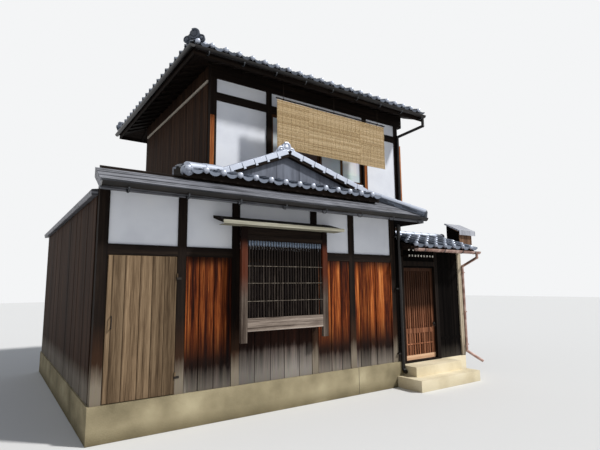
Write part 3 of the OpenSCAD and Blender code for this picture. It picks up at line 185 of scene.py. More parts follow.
# Frame: square posts, beams and rails of cedar, stained dark and smoked by age, and drawn
# darker still as painted shade for the deep shadow under the eaves. Rain has bleached the
# feet of the street posts to grey.
def timber(name, stops, along="Z", grain_mm=6, roughness=0.7, layers=(), spread=(0.8, 1.25)):
    """Sawn wood: streaks along the grain, a tone for each board, and bands of weather.

    A layer is a colour, the heights where it starts and is full, and its share."""
    material, tree, shader, place = start_material(name, roughness)
    tone = add_node(tree, "Attribute", {}, out="Fac", attribute_name="tone")
    shift = add_node(tree, "VectorMath", {0: (7.0, 11.0, 3.0), "Scale": tone}, operation="SCALE")
    moved = add_node(tree, "VectorMath", {0: place, 1: shift}, operation="ADD")
    fine = [1000 / grain_mm] * 3
    fine["XYZ".index(along)] /= 40
    streak, band = (
        add_node(tree, "TexNoise", {
            0: add_node(tree, "Mapping", {0: moved, "Scale": [size / wider for size in fine]}),
            "Scale": 1.0, "Detail": detail, "Roughness": ragged})
        for wider, detail, ragged in ((1, 5.0, 0.65), (7, 3.0, 0.5)))
    both = add_node(tree, "Mix", {0: 0.5, 2: streak, 3: band})
    colour = add_node(tree, "ValToRGB", {0: both}, stops=stops)
    height = add_node(tree, "SeparateXYZ", {0: place}, out="Z")
    for code, start, full, share in layers:
        middle = 0.9 * (full - start)
        ragged = add_node(tree, "Math", {0: both, 1: 2 * middle, 2: height},
                          operation="MULTIPLY_ADD")
        mask = add_node(tree, "MapRange", {0: ragged, 1: start + middle, 2: full + middle,
                                           3: 0.0, 4: share})
        lined = add_node(tree, "Mix", {0: 0.5, 6: code, 7: streak.node.outputs["Color"]}, out=2,
                         data_type="RGBA", blend_type="MULTIPLY")
        lifted = add_node(tree, "Mix", {0: 0.4, 6: lined, 7: code}, out=2, data_type="RGBA")
        colour = add_node(tree, "Mix", {0: mask, 6: colour, 7: lifted}, out=2, data_type="RGBA")
    value = add_node(tree, "MapRange", {0: tone, 1: 0.0, 2: 1.0, 3: spread[0], 4: spread[1]})
    own = add_node(tree, "HueSaturation", {"Value": value, "Color": colour})
    raised = add_node(tree, "Bump", {"Height": both, "Strength": 0.6, "Distance": 0.0008})
    wire(tree, shader, {"Base Color": own, "Normal": raised})
    return material


# These smoked stops are old stain drawn darker still: painted shade for the deep shadow under the
# eaves.
SMOKED_AND_SHADE = [(0.32, "#0e0a08"), (0.5, "#1d1612"), (0.7, "#352a22")]
post_wood = timber("smoked_shaded_cedar_posts", SMOKED_AND_SHADE,
                   layers=[("#4d3424", 1.35, 0.95, 0.6), ("#aea28e", 0.88, 0.62, 0.65)])
beam_wood = timber("smoked_shaded_cedar_beams", SMOKED_AND_SHADE, along="X")
dress(post_wood, "front_posts", "upper_posts")
dress(beam_wood, "front_beams", "carrying_beams", "upper_beams")
dress(timber("planed_floor_boards", [(0.3, "#6d5136"), (0.5, "#8f6d49"), (0.7, "#a8855c")],
             along="Y", grain_mm=8, roughness=0.5), "ground_floor", "upper_floor")

# Plaster: lime plaster laid with a steel trowel between the posts, nearly white and flat,
# with faint grey clouds where damp has crept in.
material, tree, shader, place = start_material("trowelled_lime_plaster", 0.85)
cloud = add_node(tree, "TexNoise", {"Vector": place, "Scale": 1.7, "Detail": 5.0})
tint = add_node(tree, "ValToRGB", {0: cloud},
                stops=[(0.3, "#dcdee4"), (0.5, "#e6e8ed"), (0.7, "#ebecef")])
trowel = add_node(tree, "TexNoise", {"Vector": place, "Scale": 16.0, "Detail": 4.0})
ripple = add_node(tree, "Bump", {"Height": trowel, "Strength": 0.25, "Distance": 0.004})
wire(tree, shader, {"Base Color": tint, "Normal": ripple})
dress(material, "front_plaster", "upper_plaster")


# Street boards: upright cedar boards fixed between the posts over a backing painted dark as
# the shade behind them, oiled red, bleached grey at the foot by rain and painted darker at
# their heads as the beam's shadow, with thin cover strips over some joints.
def open_shape():
    """A new mesh under construction, whose faces carry a tone."""
    bm = bmesh.new()
    bm.faces.layers.float.new("tone")
    return bm


def set_tone(bm, verts, tone):
    """Gives the faces on these points one tone."""
    for face in {f for v in verts for f in v.link_faces}:
        face[bm.faces.layers.float["tone"]] = tone


def block(bm, low, high, tone=0.5, place=Matrix()):
    """A box between two corners of a place."""
    size = [b - a for a, b in zip(low, high)]
    middle = [(a + b) / 2 for a, b in zip(low, high)]
    verts = bmesh.ops.create_cube(
        bm, size=1, matrix=place @ Matrix.LocRotScale(middle, None, size))["verts"]
    set_tone(bm, verts, tone)
    return verts


def close_mesh(bm, name):
    """Turns the shape into a mesh with its faces outwards."""
    bmesh.ops.recalc_face_normals(bm, faces=bm.faces)
    mesh = bpy.data.meshes.new(name)
    bm.to_mesh(mesh)
    bm.free()
    return mesh


def close_piece(bm, name, material, body="house", bevel=0.0, smooth=False):
    """Turns the shape into a piece that rides on a body."""
    mesh = close_mesh(bm, name)
    mesh.materials.append(material)
    if smooth:
        mesh.shade_smooth()
        mesh.set_sharp_from_angle(angle=math.radians(40))
    piece = bpy.data.objects.new(name, mesh)
    bpy.context.scene.collection.objects.link(piece)
    if bevel:
        edge = piece.modifiers.new("worn_edges", "BEVEL")
        edge.width = bevel
        edge.segments = 2
        edge.limit_method = "ANGLE"
    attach(piece, body)
    return piece


def stand_boards(bm, joints, face_y, z, thickness, gap, rng, towards=-1, tones=(0.0, 1.0)):
    """Upright boards side by side along X, proud of a face."""
    for x0, x1 in zip(joints, joints[1:]):
        proud = thickness * rng.uniform(0.75, 1.0)
        y = sorted((face_y, face_y + towards * proud))
        block(bm, (x0 + gap / 2, y[0], z[0]), (x1 - gap / 2, y[1], z[1]), rng.uniform(*tones))


rng = random.Random(11)
dress(timber("shadowed_backing_boards", [(0.3, "#0f0b09"), (0.6, "#1d1511"), (0.8, "#2a1f18")]),
      "front_boards")
board_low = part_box("front_boards")[0]
BOARD_TOP = 2.17
STRIP_T = 0.025
cedar = timber("oiled_cedar_boards_shaded_heads",
               [(0.37, "#120806"), (0.455, "#41180a"), (0.53, "#84401b"), (0.61, "#bb7038"),
                (0.74, "#e6b27c")],
               grain_mm=11, roughness=0.6, spread=(0.45, 1.15),
               # The first layer is painted shadow across the boards' heads, under the beam.
               layers=[("#1b0d09", 2.02, 2.16, 0.8), ("#17100d", 1.22, 0.78, 0.95),
                       ("#8d8479", 0.72, 0.44, 0.78)])
bm = open_shape()
for joints, tones in (
        ([-1.4175, -1.229, -1.008, -0.75], (0.0, 0.6)),
        ([0.75, 1.018, 1.230, 1.4175], (0.4, 1.2)),
        ([1.5375, 1.641, 1.857, 2.062, 2.394, 2.4025], (0.35, 1.3))):
    stand_boards(bm, joints, board_low.y, (board_low.z, BOARD_TOP), 0.014, 0.011, rng,
                 tones=tones)
for x0, x1 in ((-1.4175, -1.385), (0.75, 0.775), (2.012, 2.066), (2.382, 2.4025)):
    block(bm, (x0, board_low.y - 0.001 - STRIP_T, board_low.z),
          (x1, board_low.y - 0.001, BOARD_TOP), 0.9)
close_piece(bm, "street_boards", cedar, bevel=0.0025)

bm = open_shape()
stand_boards(bm, [-0.63, -0.382, -0.119, 0.121, 0.39, 0.63], board_low.y, (board_low.z, 1.2),
             0.014, 0.008, rng)
close_piece(bm, "boards_under_lattice",
            timber("shaded_boards_under_lattice",
                   [(0.32, "#0d0807"), (0.5, "#26150f"), (0.7, "#3f2219")], grain_mm=11,
                   spread=(0.6, 1.2), layers=[("#958e85", 0.92, 0.55, 0.85)]),
            bevel=0.0025)

# Side door: one leaf of grey-brown boards, worn paler along the lock stile, hung on two
# iron hinges at its right edge, with a bent iron pull.
POST_HALF = 0.06
leaf_low, leaf_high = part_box("side_door")
door_wood = timber("weathered_door_boards",
                   [(0.34, "#31261b"), (0.46, "#5f4d3a"), (0.57, "#7f6a52"), (0.74, "#a38d70")],
                   grain_mm=8, roughness=0.8, spread=(0.72, 1.2))
dress(door_wood, "side_door")
bm = open_shape()
stand_boards(bm, [leaf_low.x, -2.336, -2.193, -2.01, -1.858, -1.7, -1.5445], -POST_HALF,
             (leaf_low.z + 0.004, leaf_high.z - 0.004), 0.007, 0.008, rng)
close_piece(bm, "side_door_boards", door_wood, body="side_leaf", bevel=0.0015)


def mottled(name, roughness, metallic, scale, detail, stops):
    """A smooth finish with faint clouds of its own colour."""
    material, tree, shader, place = start_material(name, roughness, metallic)
    cloud = add_node(tree, "TexNoise", {"Vector": place, "Scale": scale, "Detail": detail})
    wire(tree, shader, {"Base Color": add_node(tree, "ValToRGB", {0: cloud}, stops=stops)})
    return material


iron = mottled("blacked_iron", 0.5, 0.7, 300.0, 2.0, [(0.4, "#1d1b1a"), (0.65, "#3b332d")])
dress(iron, "side_door_pull", "hinge_pins", "gate_pull")


# Lattice window: two long stiles, a deep bottom rail and a head rail of weathered wood,
# halved together and held off the wall by short arms; the bars run through three cross
# rods. Under the canopy the stiles have kept their red, and their tops are painted black as
# the canopy's shadow; the bars are painted darker towards the top as its shade, with a pale
# blue-grey painted highlight at their heads.
def rod(bm, start, end, radius, segments, tip=1.0, place=Matrix()):
    """A round rod between two points of a place; tip is its far end's share of the radius."""
    start, end = Vector(start), Vector(end)
    turn = Vector((0, 0, 1)).rotation_difference((end - start).normalized())
    return bmesh.ops.create_cone(
        bm, cap_ends=True, segments=segments, radius1=radius, radius2=radius * tip,
        depth=(end - start).length,
        matrix=place @ Matrix.Translation((start + end) / 2) @ turn.to_matrix().to_4x4())["verts"]


lattice_low, lattice_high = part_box("lattice_frame")
bars_low, bars_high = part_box("lattice_bars")
# The stiles' near-black top layer is painted shadow of the canopy.
stile_wood = timber("weathered_lattice_stiles_shaded_tops",
                    [(0.32, "#1a1410"), (0.5, "#4a3f37"), (0.7, "#8a7d71")],
                    layers=[("#57240f", 1.6, 1.95, 0.85), ("#0d0908", 2.28, 2.44, 0.95)])
rail_wood = timber("weathered_lattice_rails",
                   [(0.34, "#3d332c"), (0.5, "#83766b"), (0.68, "#bcaea1")], along="X")
rod_wood = timber("worn_cross_rods", [(0.4, "#2b231d"), (0.52, "#776d61"), (0.62, "#a89d8d")],
                  along="Y")
# The bars' dark upper layer is painted shade under the canopy, and the pale blue-grey band at
# their heads a painted highlight.
dress(timber("weathered_lattice_bars_shade_and_highlight",
             [(0.34, "#0b0807"), (0.52, "#221b17"), (0.72, "#6d6258")], grain_mm=4,
             layers=[("#140d0a", 1.9, 2.25, 0.7), ("#93a3b8", 2.33, 2.36, 0.75)]),
      "lattice_bars")
bm = open_shape()
for z in (1.56, 1.81, 2.05):
    rod(bm, (bars_low.x, bars_low.y - 0.003, z), (bars_high.x, bars_low.y - 0.003, z), 0.0045, 10)
close_piece(bm, "lattice_cross_rods", rod_wood, smooth=True)
STILE_W, STILE_T, STILE_TOP = bars_low.x - lattice_low.x, 0.06, 2.615
RAIL_Z, RAIL_TOP, HEAD_TOP = 1.15, 1.33, 2.49
front_y = lattice_low.y
inner = (lattice_low.x + STILE_W, lattice_high.x - STILE_W)
bm = open_shape()
for x in (lattice_low.x, inner[1]):
    block(bm, (x, front_y, lattice_low.z), (x + STILE_W, front_y + STILE_T, STILE_TOP),
          rng.uniform(0.4, 0.6))
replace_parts(close_piece(bm, "lattice_stiles", stile_wood, bevel=0.004),
            "lattice_frame")
bm = open_shape()
block(bm, (inner[0], front_y + 0.004, RAIL_Z),
      (inner[1], front_y + STILE_T - 0.004, RAIL_TOP), 0.7)
close_piece(bm, "lattice_bottom_rail", rail_wood, bevel=0.004)
bm = open_shape()
block(bm, (inner[0], front_y + 0.004, bars_high.z),
      (inner[1], front_y + STILE_T - 0.004, HEAD_TOP), 0.2)
block(bm, (inner[0], front_y + 0.02, HEAD_TOP), (inner[1], front_y + 0.034, 2.606), 0.1)
for x in (lattice_low.x + 0.06, lattice_high.x - 0.105):
    for z in (RAIL_Z, bars_high.z):
        block(bm, (x, front_y + STILE_T, z), (x + 0.045, -POST_HALF, z + 0.08), 0.3)
close_piece(bm, "lattice_top_rail_and_arms", beam_wood, bevel=0.003)

# Canopy: two thin boards on the arms' heads, capped with dark sheet metal, with a clean
# pale batten nailed along their front edge and a pale board under them.
canopy_low, canopy_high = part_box("window_canopy")
dress(timber("shaded_canopy_boards", SMOKED_AND_SHADE, along="X"), "window_canopy")
canopy_edge = timber("pale_canopy_batten",
                     [(0.34, "#5f5c50"), (0.5, "#94907f"), (0.68, "#c2bfad")],
                     along="X", grain_mm=5, roughness=0.8)
bm = open_shape()
block(bm, (canopy_low.x - 0.01, canopy_low.y - 0.012, canopy_low.z - 0.004),
      (canopy_high.x + 0.01, canopy_low.y, canopy_low.z + 0.046))
block(bm, (canopy_low.x + 0.02, canopy_low.y, canopy_low.z - 0.004),
      (canopy_high.x - 0.02, front_y + STILE_T, canopy_low.z - 0.0004), 0.2)
close_piece(bm, "canopy_batten", canopy_edge, bevel=0.002)

# Windows: sliding sashes of brown wood, two behind the lattice and four behind the
# blinds, with one pane each; pale curtains hang close behind the upper panes.
dress(timber("brown_sash_wood", [(0.3, "#3a291e"), (0.5, "#5a3f2d"), (0.7, "#74523a")]),
      "ground_windows", "upper_windows")


def glass(name, code):
    """Float glass with what hangs close behind it: the colour is the curtain's, or painted shade
    for an unlit room.
    """
    material, tree, shader, place = start_material(name, 0.06)
    wave = add_node(tree, "TexNoise", {"Vector": place, "Scale": 2.2}, out="Color")
    darker = add_node(tree, "Mix", {0: 0.35, 6: code, 7: wave}, out=2, data_type="RGBA",
                      blend_type="MULTIPLY")
    wire(tree, shader, {"Base Color": darker, "IOR": 1.52})
    return material


curtained = glass("curtained_window_glass", "#dfe6ee")
# Painted shade: the bare glass is coloured as the dark room behind it.
dark_room_glass = glass("glass_painted_dark_room", "#57494a")
UPPER_FACE = 1.44
SASH_STILE, SASH_RAIL, SASH_TOP = 0.045, 0.055, 5.145
window_left, window_right = 0.803, 3.205
sash_w = (window_right - window_left) / 4
pane_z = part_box("upper_windows")[0].z + SASH_RAIL
for index in range(4):
    bm = open_shape()
    x0 = window_left + index * sash_w + SASH_STILE
    y = UPPER_FACE + (0.062 if index % 2 else 0.028) + 0.0105
    block(bm, (x0, y, pane_z), (x0 + sash_w - 2 * SASH_STILE, y + 0.002, SASH_TOP - SASH_RAIL))
    close_piece(bm, f"upper_pane_{index + 1}", dark_room_glass if index == 1 else curtained)


# Wall boards: the sides, the rear and the upper left wall wear upright cedar boards,
# dark with age, nailed over the studs with narrow open joints.
BOARD_W, BOARD_T, GAP = 0.185, 0.012, 0.006


def board_side(bm, face_x, y, z_low, z_high, towards, width, rng):
    """Upright boards along Y on a wall's face, from one height to one that may follow a roof."""
    count = round((y[1] - y[0]) / width)
    step = (y[1] - y[0]) / count
    for index in range(count):
        y0 = y[0] + index * step
        x = sorted((face_x, face_x + towards * BOARD_T * rng.uniform(0.7, 1.0)))
        block(bm, (x[0], y0 + GAP / 2, z_low),
              (x[1], y0 + step - GAP / 2, z_high(y0 + step / 2)), rng.random())


wall_wood = timber("aged_wall_boards",
                   [(0.32, "#150e0a"), (0.47, "#2b1d15"), (0.6, "#422e21"), (0.76, "#5c4634")],
                   grain_mm=9, roughness=0.75, layers=[("#8f877b", 0.8, 0.6, 0.6)])
dress(wall_wood, "left_wall", "forecourt_walls", "right_wall", "rear_wall", "upper_left_wall")
left_low, left_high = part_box("left_wall")
upper_left_low, upper_left_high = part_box("upper_left_wall")
right_low, right_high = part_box("right_wall")
forecourt_low, forecourt_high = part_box("forecourt_walls")
RIDGE_Y = 3.47
bm = open_shape()
for face_x, y, z_low, z_high, towards in (
        (left_low.x, (left_low.y, left_high.y), left_low.z, lambda y: left_high.z - 0.03, -1),
        (upper_left_low.x, (upper_left_low.y, upper_left_high.y), 3.55, lambda y: 5.49, -1),
        (right_high.x, (right_low.y, right_high.y), right_low.z,
         lambda y: 5.66 + 0.4 * (2.03 - abs(y - RIDGE_Y)) - 0.03, 1),
        (2.5225, (0.09, 1.43), forecourt_low.z, lambda y: forecourt_high.z - 0.02, 1)):
    board_side(bm, face_x, y, z_low, z_high, towards, BOARD_W, rng)
close_piece(bm, "side_wall_boards", wall_wood, bevel=0.0015)


# Roof tiles: smoked clay pantiles, silver-grey, each with a roll at its left that laps
# its neighbour. The eaves course ends in a hanging lip with a round boss on the roll.
TILE_W = 0.263
TILE_STEP = 0.235
TILE_LONG = 0.295
TILE_T = 0.015
ROLL_R = 0.042
BED = 0.034
TILT = 0.022
ROLL_H, DIP = 0.040, 0.016
BOSS_Z, BOSS_R = BED + 0.018, 0.044


def tile_height(u):
    """Height of a tile's top above its bed, at a distance across it from the roll's crown."""
    if abs(u) < ROLL_R:
        return ROLL_H * math.cos(math.pi * u / (2 * ROLL_R))
    return -DIP * math.sin(math.pi * (u - ROLL_R) / (TILE_W - 2 * ROLL_R))


def around(verts):
    """Points with the edges and faces on them, each once and in a steady order."""
    edges = [e for v in verts for e in v.link_edges]
    faces = [f for v in verts for f in v.link_faces]
    return list(dict.fromkeys([*verts, *edges, *faces]))


def grown(made):
    """The points that an extrusion or a cut has made."""
    return [v for v in made["geom"] if isinstance(v, bmesh.types.BMVert)]


def make_tile(name, eaves):
    """One pantile along +Y from its lower edge, with the eaves lip and boss if it has them.

    The lip's own tone of 1 and the boss's of 3 paint highlights on them; a plain tile's is 0."""
    bm = open_shape()
    across = [-0.042, -0.032, -0.017, 0.0, 0.017, 0.032, 0.042, 0.075, 0.115, 0.155, 0.195, 0.232]
    line = [bm.verts.new((u, 0.0, tile_height(u) + BED + TILT)) for u in across]
    edges = [bm.edges.new(pair) for pair in zip(line, line[1:])]
    back = grown(bmesh.ops.extrude_edge_only(bm, edges=edges))
    bmesh.ops.translate(bm, verts=back, vec=(0, TILE_LONG, -TILT))
    bmesh.ops.recalc_face_normals(bm, faces=bm.faces)
    if sum(f.normal.z for f in bm.faces) < 0:
        bmesh.ops.reverse_faces(bm, faces=bm.faces)
    bmesh.ops.solidify(bm, geom=bm.faces[:], thickness=TILE_T)
    if eaves:
        lip_across = [0.040, 0.062, 0.09, 0.12, 0.15, 0.18, 0.205, 0.228]
        drops = [0.020, 0.034, 0.044, 0.048, 0.048, 0.044, 0.034, 0.022]
        tops = [bm.verts.new((u, 0.012, tile_height(u) + BED + 0.020)) for u in lip_across]
        lows = [bm.verts.new((u, 0.006, tile_height(u) + BED + 0.020 - drop))
                for u, drop in zip(lip_across, drops)]
        lip = [bm.faces.new((a, b, d, c))
               for a, b, c, d in zip(tops, tops[1:], lows, lows[1:])]
        front = grown(bmesh.ops.extrude_face_region(bm, geom=lip))
        bmesh.ops.translate(bm, verts=front, vec=(0, -0.016, 0))
        rod(bm, (0, 0.011, BOSS_Z), (0, -0.019, BOSS_Z), BOSS_R, 16)
        dome = Matrix.LocRotScale((0, -0.017, BOSS_Z), None, (1, 0.75, 1))
        bmesh.ops.create_uvsphere(bm, u_segments=14, v_segments=8, radius=0.043, matrix=dome)
        for face in bm.faces:
            centre = face.calc_center_median()
            if centre.y < 0.011:
                face[bm.faces.layers.float["tone"]] = 3.0 if abs(centre.x) < BOSS_R else 1.0
    return close_mesh(bm, name)


plain_tile = make_tile("pantile", False)
eaves_tile = make_tile("eaves_pantile", True)


def fill_cut(bm, cut):
    """Closes the opening that a cutting plane leaves, and gives the new faces."""
    rim = [e for e in cut["geom_cut"] if isinstance(e, bmesh.types.BMEdge)]
    return bmesh.ops.holes_fill(bm, edges=rim, sides=0)["faces"]


def lay_tiles(bm, corner, flat, width, run, rise, rng, eaves=True, keep=(), reach=0.05,
              mirrored=False, glint=1.0, shaded_up_to=0.0, lips=False):
    """Courses of tiles over a slope that rises from its lower corner along the way flat.

    keep lists upright planes, each as a point and the way from it that keeps its tiles;
    lips puts the rolled lip on every course. The highlight factor scales the painted highlights
    on lips and bosses, and parts whose tone is up to the shade limit get none and stay dark."""
    corner, flat = Vector(corner), Vector(flat)
    across = flat.cross(Vector((0, 0, 1)))
    up = (flat * run + Vector((0, 0, rise))).normalized()
    normal = across.cross(up)
    if mirrored:
        across = -across
    length = math.hypot(run, rise) + reach
    columns = max(1, round(width / TILE_W))
    squeeze = width / columns / TILE_W
    rows = max(1, round(length / TILE_STEP))
    step = length / rows
    turn = Matrix((across * squeeze, up * (step / TILE_STEP), normal)).transposed().to_4x4()
    made = []
    for row in range(rows):
        shape = eaves_tile if lips or (eaves and row == 0) else plain_tile
        for column in range(columns):
            place = (corner + across * (column * squeeze * TILE_W + ROLL_R)
                     + up * (row * step - reach))
            centre = place + up * step / 2 + across * TILE_W / 2
            tone = rng.random()
            if any((centre - point).dot(way) < -0.2 for point, way in keep):
                continue
            copy = shape.copy()
            copy.transform(Matrix.Translation(place) @ turn)
            for own in copy.attributes["tone"].data:
                own.value = (own.value * glint if own.value > shaded_up_to else 0.0) + tone
            first = len(bm.faces)
            bm.from_mesh(copy)
            bm.faces.ensure_lookup_table()
            made += bm.faces[first:]
            bpy.data.meshes.remove(copy)
    for point, way in keep:
        own = [f for f in made if f.is_valid]
        edges, verts = [e for f in own for e in f.edges], [v for f in own for v in f.verts]
        cut = bmesh.ops.bisect_plane(bm, geom=list(dict.fromkeys([*own, *edges, *verts])),
                                     plane_co=point, plane_no=-way, clear_outer=True)
        filled = fill_cut(bm, cut)
        made = [f for f in own if f.is_valid] + filled


# Smoke gives the clay its matt silver skin. A tone below 1 leaves it dark, and each whole
# number above paints a brighter highlight on it: a lip, a lit edge, and a boss or cap where
# the sun glints.
material, tree, shader, place = start_material("smoked_clay_tile_painted_glints", 0.4, 0.45)
tone = add_node(tree, "Attribute", {}, out="Fac", attribute_name="tone")
smoke = add_node(tree, "TexNoise", {"Vector": place, "Scale": 9.0, "Detail": 6.0})
both = add_node(tree, "Mix", {0: 0.4, 2: smoke, 3: tone})
tint = add_node(tree, "ValToRGB", {0: both},
                stops=[(0.25, "#31363f"), (0.5, "#525965"), (0.75, "#79818f")])
# Painted highlight: the tone's whole number sets how much pale silver is mixed over the smoke, and
# how metallic it is.
glint_level = add_node(tree, "ValToRGB",
                    {0: add_node(tree, "Math", {0: tone, 1: 4.0}, operation="DIVIDE")},
                    stops=[(0.249, "#000000"), (0.251, "#505050"), (0.499, "#505050"),
                           (0.501, "#b4b4b4"), (0.749, "#b4b4b4"), (0.751, "#ffffff")])
silver = add_node(tree, "Mix", {0: glint_level, 6: tint, 7: "#b9bfcc"}, out=2, data_type="RGBA")
pores = add_node(tree, "TexNoise", {"Vector": place, "Scale": 220.0, "Detail": 3.0})
wire(tree, shader, {
    "Base Color": silver,
    "Metallic": add_node(tree, "MapRange", {0: glint_level, 3: 0.15, 4: 0.55}),
    "Roughness": add_node(tree, "MapRange", {0: smoke, 3: 0.32, 4: 0.5}),
    "Normal": add_node(tree, "Bump", {"Height": pores, "Strength": 0.2, "Distance": 0.001})})
tile_clay = material
bedding = timber("shadowed_roof_boards", SMOKED_AND_SHADE, along="X")
dress(bedding, "skirt_roof", "lower_roof_left", "lower_roof_right", "corner_roof",
      "upper_roof_front", "upper_roof_rear", "upper_roof_hip")


def close_tiles(bm, name):
    """Turns tiles into a piece of smoked clay."""
    return close_piece(bm, name, tile_clay, smooth=True)


EAVE_L, EAVE_R, EAVE_F, EAVE_B = -1.035, 4.625, 0.89, 6.05
EAVE_Z, RIDGE_Z = 5.77, 6.802
HIP_RUN = RIDGE_Y - EAVE_F
UPPER_RISE = RIDGE_Z - EAVE_Z
corner_front = Vector((EAVE_L, EAVE_F, 0))
corner_rear = Vector((EAVE_L, EAVE_B, 0))
front_side = Vector((1, -1, 0)).normalized()
rear_side = Vector((1, 1, 0)).normalized()
bm = open_shape()
# The upper eaves' lips get no painted highlight and stay dark as painted shade; only the bosses
# are painted bright.
lay_tiles(bm, (EAVE_L, EAVE_F, EAVE_Z), (0, 1, 0), EAVE_R - EAVE_L, HIP_RUN, UPPER_RISE, rng,
          keep=[(corner_front, front_side)], shaded_up_to=2.0)
close_tiles(bm, "upper_front_tiles")
bm = open_shape()
lay_tiles(bm, (EAVE_L, EAVE_B, EAVE_Z), (0, -1, 0), EAVE_R - EAVE_L, HIP_RUN, UPPER_RISE, rng,
          keep=[(corner_rear, rear_side)], mirrored=True)
close_tiles(bm, "upper_rear_tiles")
bm = open_shape()
lay_tiles(bm, (EAVE_L, EAVE_B, EAVE_Z), (1, 0, 0), EAVE_B - EAVE_F, HIP_RUN, UPPER_RISE, rng,
          keep=[(corner_front, -front_side), (corner_rear, -rear_side)], glint=0.0, eaves=False)
close_tiles(bm, "upper_hip_tiles")

PEAK_X, PEAK_Z = 0.375, 3.93
TILE_L, TILE_L_Z, TILE_B = -1.525, 3.132, 5.75
VERGE_Y = 0.395
left_run, left_rise = PEAK_X - TILE_L, PEAK_Z - TILE_L_Z
share = (-0.485 - TILE_L) / left_run
bm = open_shape()
lay_tiles(bm, (TILE_L, UPPER_FACE, TILE_L_Z), (1, 0, 0), UPPER_FACE - VERGE_Y, left_run,
          left_rise, rng)
lay_tiles(bm, (TILE_L, TILE_B, TILE_L_Z), (1, 0, 0), TILE_B - UPPER_FACE, share * left_run,
          share * left_rise, rng)
close_tiles(bm, "lower_left_tiles")

BREAK_X, BREAK_Z = 2.1625, 3.4218
CORNER_X, PENT_Y, PENT_Z = 2.9025, -0.44, 3.0
bm = open_shape()
lay_tiles(bm, (BREAK_X, VERGE_Y, BREAK_Z), (-1, 0, 0), UPPER_FACE - VERGE_Y, BREAK_X - PEAK_X,
          PEAK_Z - BREAK_Z, rng, eaves=False, reach=0.0)
lay_tiles(bm, (CORNER_X, PENT_Y, PENT_Z), (-1, 0, 0), UPPER_FACE - PENT_Y, CORNER_X - BREAK_X,
          BREAK_Z - PENT_Z, rng, keep=[(Vector((CORNER_X, PENT_Y, 0)), rear_side)])
close_tiles(bm, "lower_right_tiles")

SKIRT_Y, SKIRT_Z, SKIRT_R = -0.16, 3.3, 2.0675
bm = open_shape()
lay_tiles(bm, (TILE_L, SKIRT_Y, SKIRT_Z), (0, 1, 0), SKIRT_R - TILE_L, 0.32, 0.096, rng,
          reach=0.04)
close_tiles(bm, "skirt_tiles")


# Ridges: courses of flat tiles bedded in mortar and stepped inwards, under a row of
# half-round caps. Each ends in an ornamental tile that was pressed in a mould.
COURSE_T, FLAT_T, STEP_IN = 0.028, 0.021, 0.007


def make_cap(name, radius, length):
    """A half-round tile along +X: a little wider at its lower end, where it laps the next."""
    bm = open_shape()
    rod(bm, (0, 0, 0), (length, 0, 0), radius, 18, tip=0.9)
    fill_cut(bm, bmesh.ops.bisect_plane(bm, geom=bm.verts[:] + bm.edges[:] + bm.faces[:],
                                        plane_co=(0, 0, -radius * 0.15), plane_no=(0, 0, -1),
                                        clear_outer=True))
    return close_mesh(bm, name)


def stamp(bm, shape, place, tone):
    """Adds a copy of a shape at a place."""
    copy = shape.copy()
    copy.transform(place)
    copy.attributes["tone"].data.foreach_set("value", [tone] * len(copy.polygons))
    bm.from_mesh(copy)
    bpy.data.meshes.remove(copy)


def slope_place(start, end, side=None):
    """A place whose X runs from start to end, and whose Z is the upward normal."""
    along = (Vector(end) - Vector(start)).normalized()
    side = Vector(side) if side else Vector((0, 0, 1)).cross(along).normalized()
    normal = along.cross(side)
    if normal.z < 0:
        normal = -normal
    return Matrix.Translation(start) @ Matrix((along, side, normal)).transposed().to_4x4()


def lay_ridge(bm, foot, top, width, courses, cap_r, rng, step=0.24):
    """Stepped flat tiles and half-round caps on a line, laid from its lower end upwards."""
    place = slope_place(foot, top)
    length = (Vector(top) - Vector(foot)).length
    count = max(1, round(length / step))
    step = length / count
    height = courses * COURSE_T
    block(bm, (0, 0.025 - width / 2, -0.05), (length, width / 2 - 0.025, height), 0.0, place)
    for index in range(count):
        for course in range(courses):
            half = width / 2 - STEP_IN * course
            shift = step / 2 * (course % 2)
            x0 = min(max(index * step - shift, 0), length)
            x1 = min((index + 1) * step - shift, length)
            for low, high in ((-half, -0.004), (0.004, half)):
                block(bm, (x0 + 0.002, low, course * COURSE_T),
                      (x1 - 0.002, high, course * COURSE_T + FLAT_T), rng.random(), place)
    # The caps' tone of 3 and more paints a bright highlight on them.
    cap = make_cap("ridge_cap", cap_r, step + 0.02)
    for index in range(count):
        stamp(bm, cap, place @ Matrix.Translation((index * step, 0, height)), 3.0 + rng.random())
    bpy.data.meshes.remove(cap)


def ring(bm, place, radius, thick, sweep=360):
    """A round bead bent into a ring, or an open scroll, about the place's X axis."""
    before = set(bm.verts)
    verts = bmesh.ops.create_circle(bm, cap_ends=True, segments=8, radius=thick)["verts"]
    upright = Matrix.Rotation(math.pi / 2, 4, "Y") @ Matrix.Rotation(math.pi / 2, 4, "X")
    bmesh.ops.transform(bm, verts=verts, matrix=Matrix.Translation((0, 0, radius)) @ upright)
    geom = around(verts)
    if sweep == 360:
        bmesh.ops.delete(bm, geom=[g for g in geom if isinstance(g, bmesh.types.BMFace)],
                         context="FACES_ONLY")
        geom = [g for g in geom if g.is_valid]
    bmesh.ops.spin(bm, geom=geom, axis=(1, 0, 0), cent=(0, 0, 0), angle=math.radians(sweep),
                   steps=20, use_merge=sweep == 360)
    bmesh.ops.transform(bm, verts=[v for v in bm.verts if v not in before], matrix=place)


def disc(bm, place, radius, depth, dome=0.0):
    """A round plate whose face looks along the place's +X, with a dome on it."""
    rod(bm, (-depth, 0, 0), (0, 0, 0), radius, 24, tip=0.96, place=place)
    if dome:
        dome_r = radius * 0.62
        bmesh.ops.create_uvsphere(bm, u_segments=16, v_segments=10, radius=dome_r,
                                  matrix=place @ Matrix.Diagonal((dome / dome_r, 1, 1, 1)))


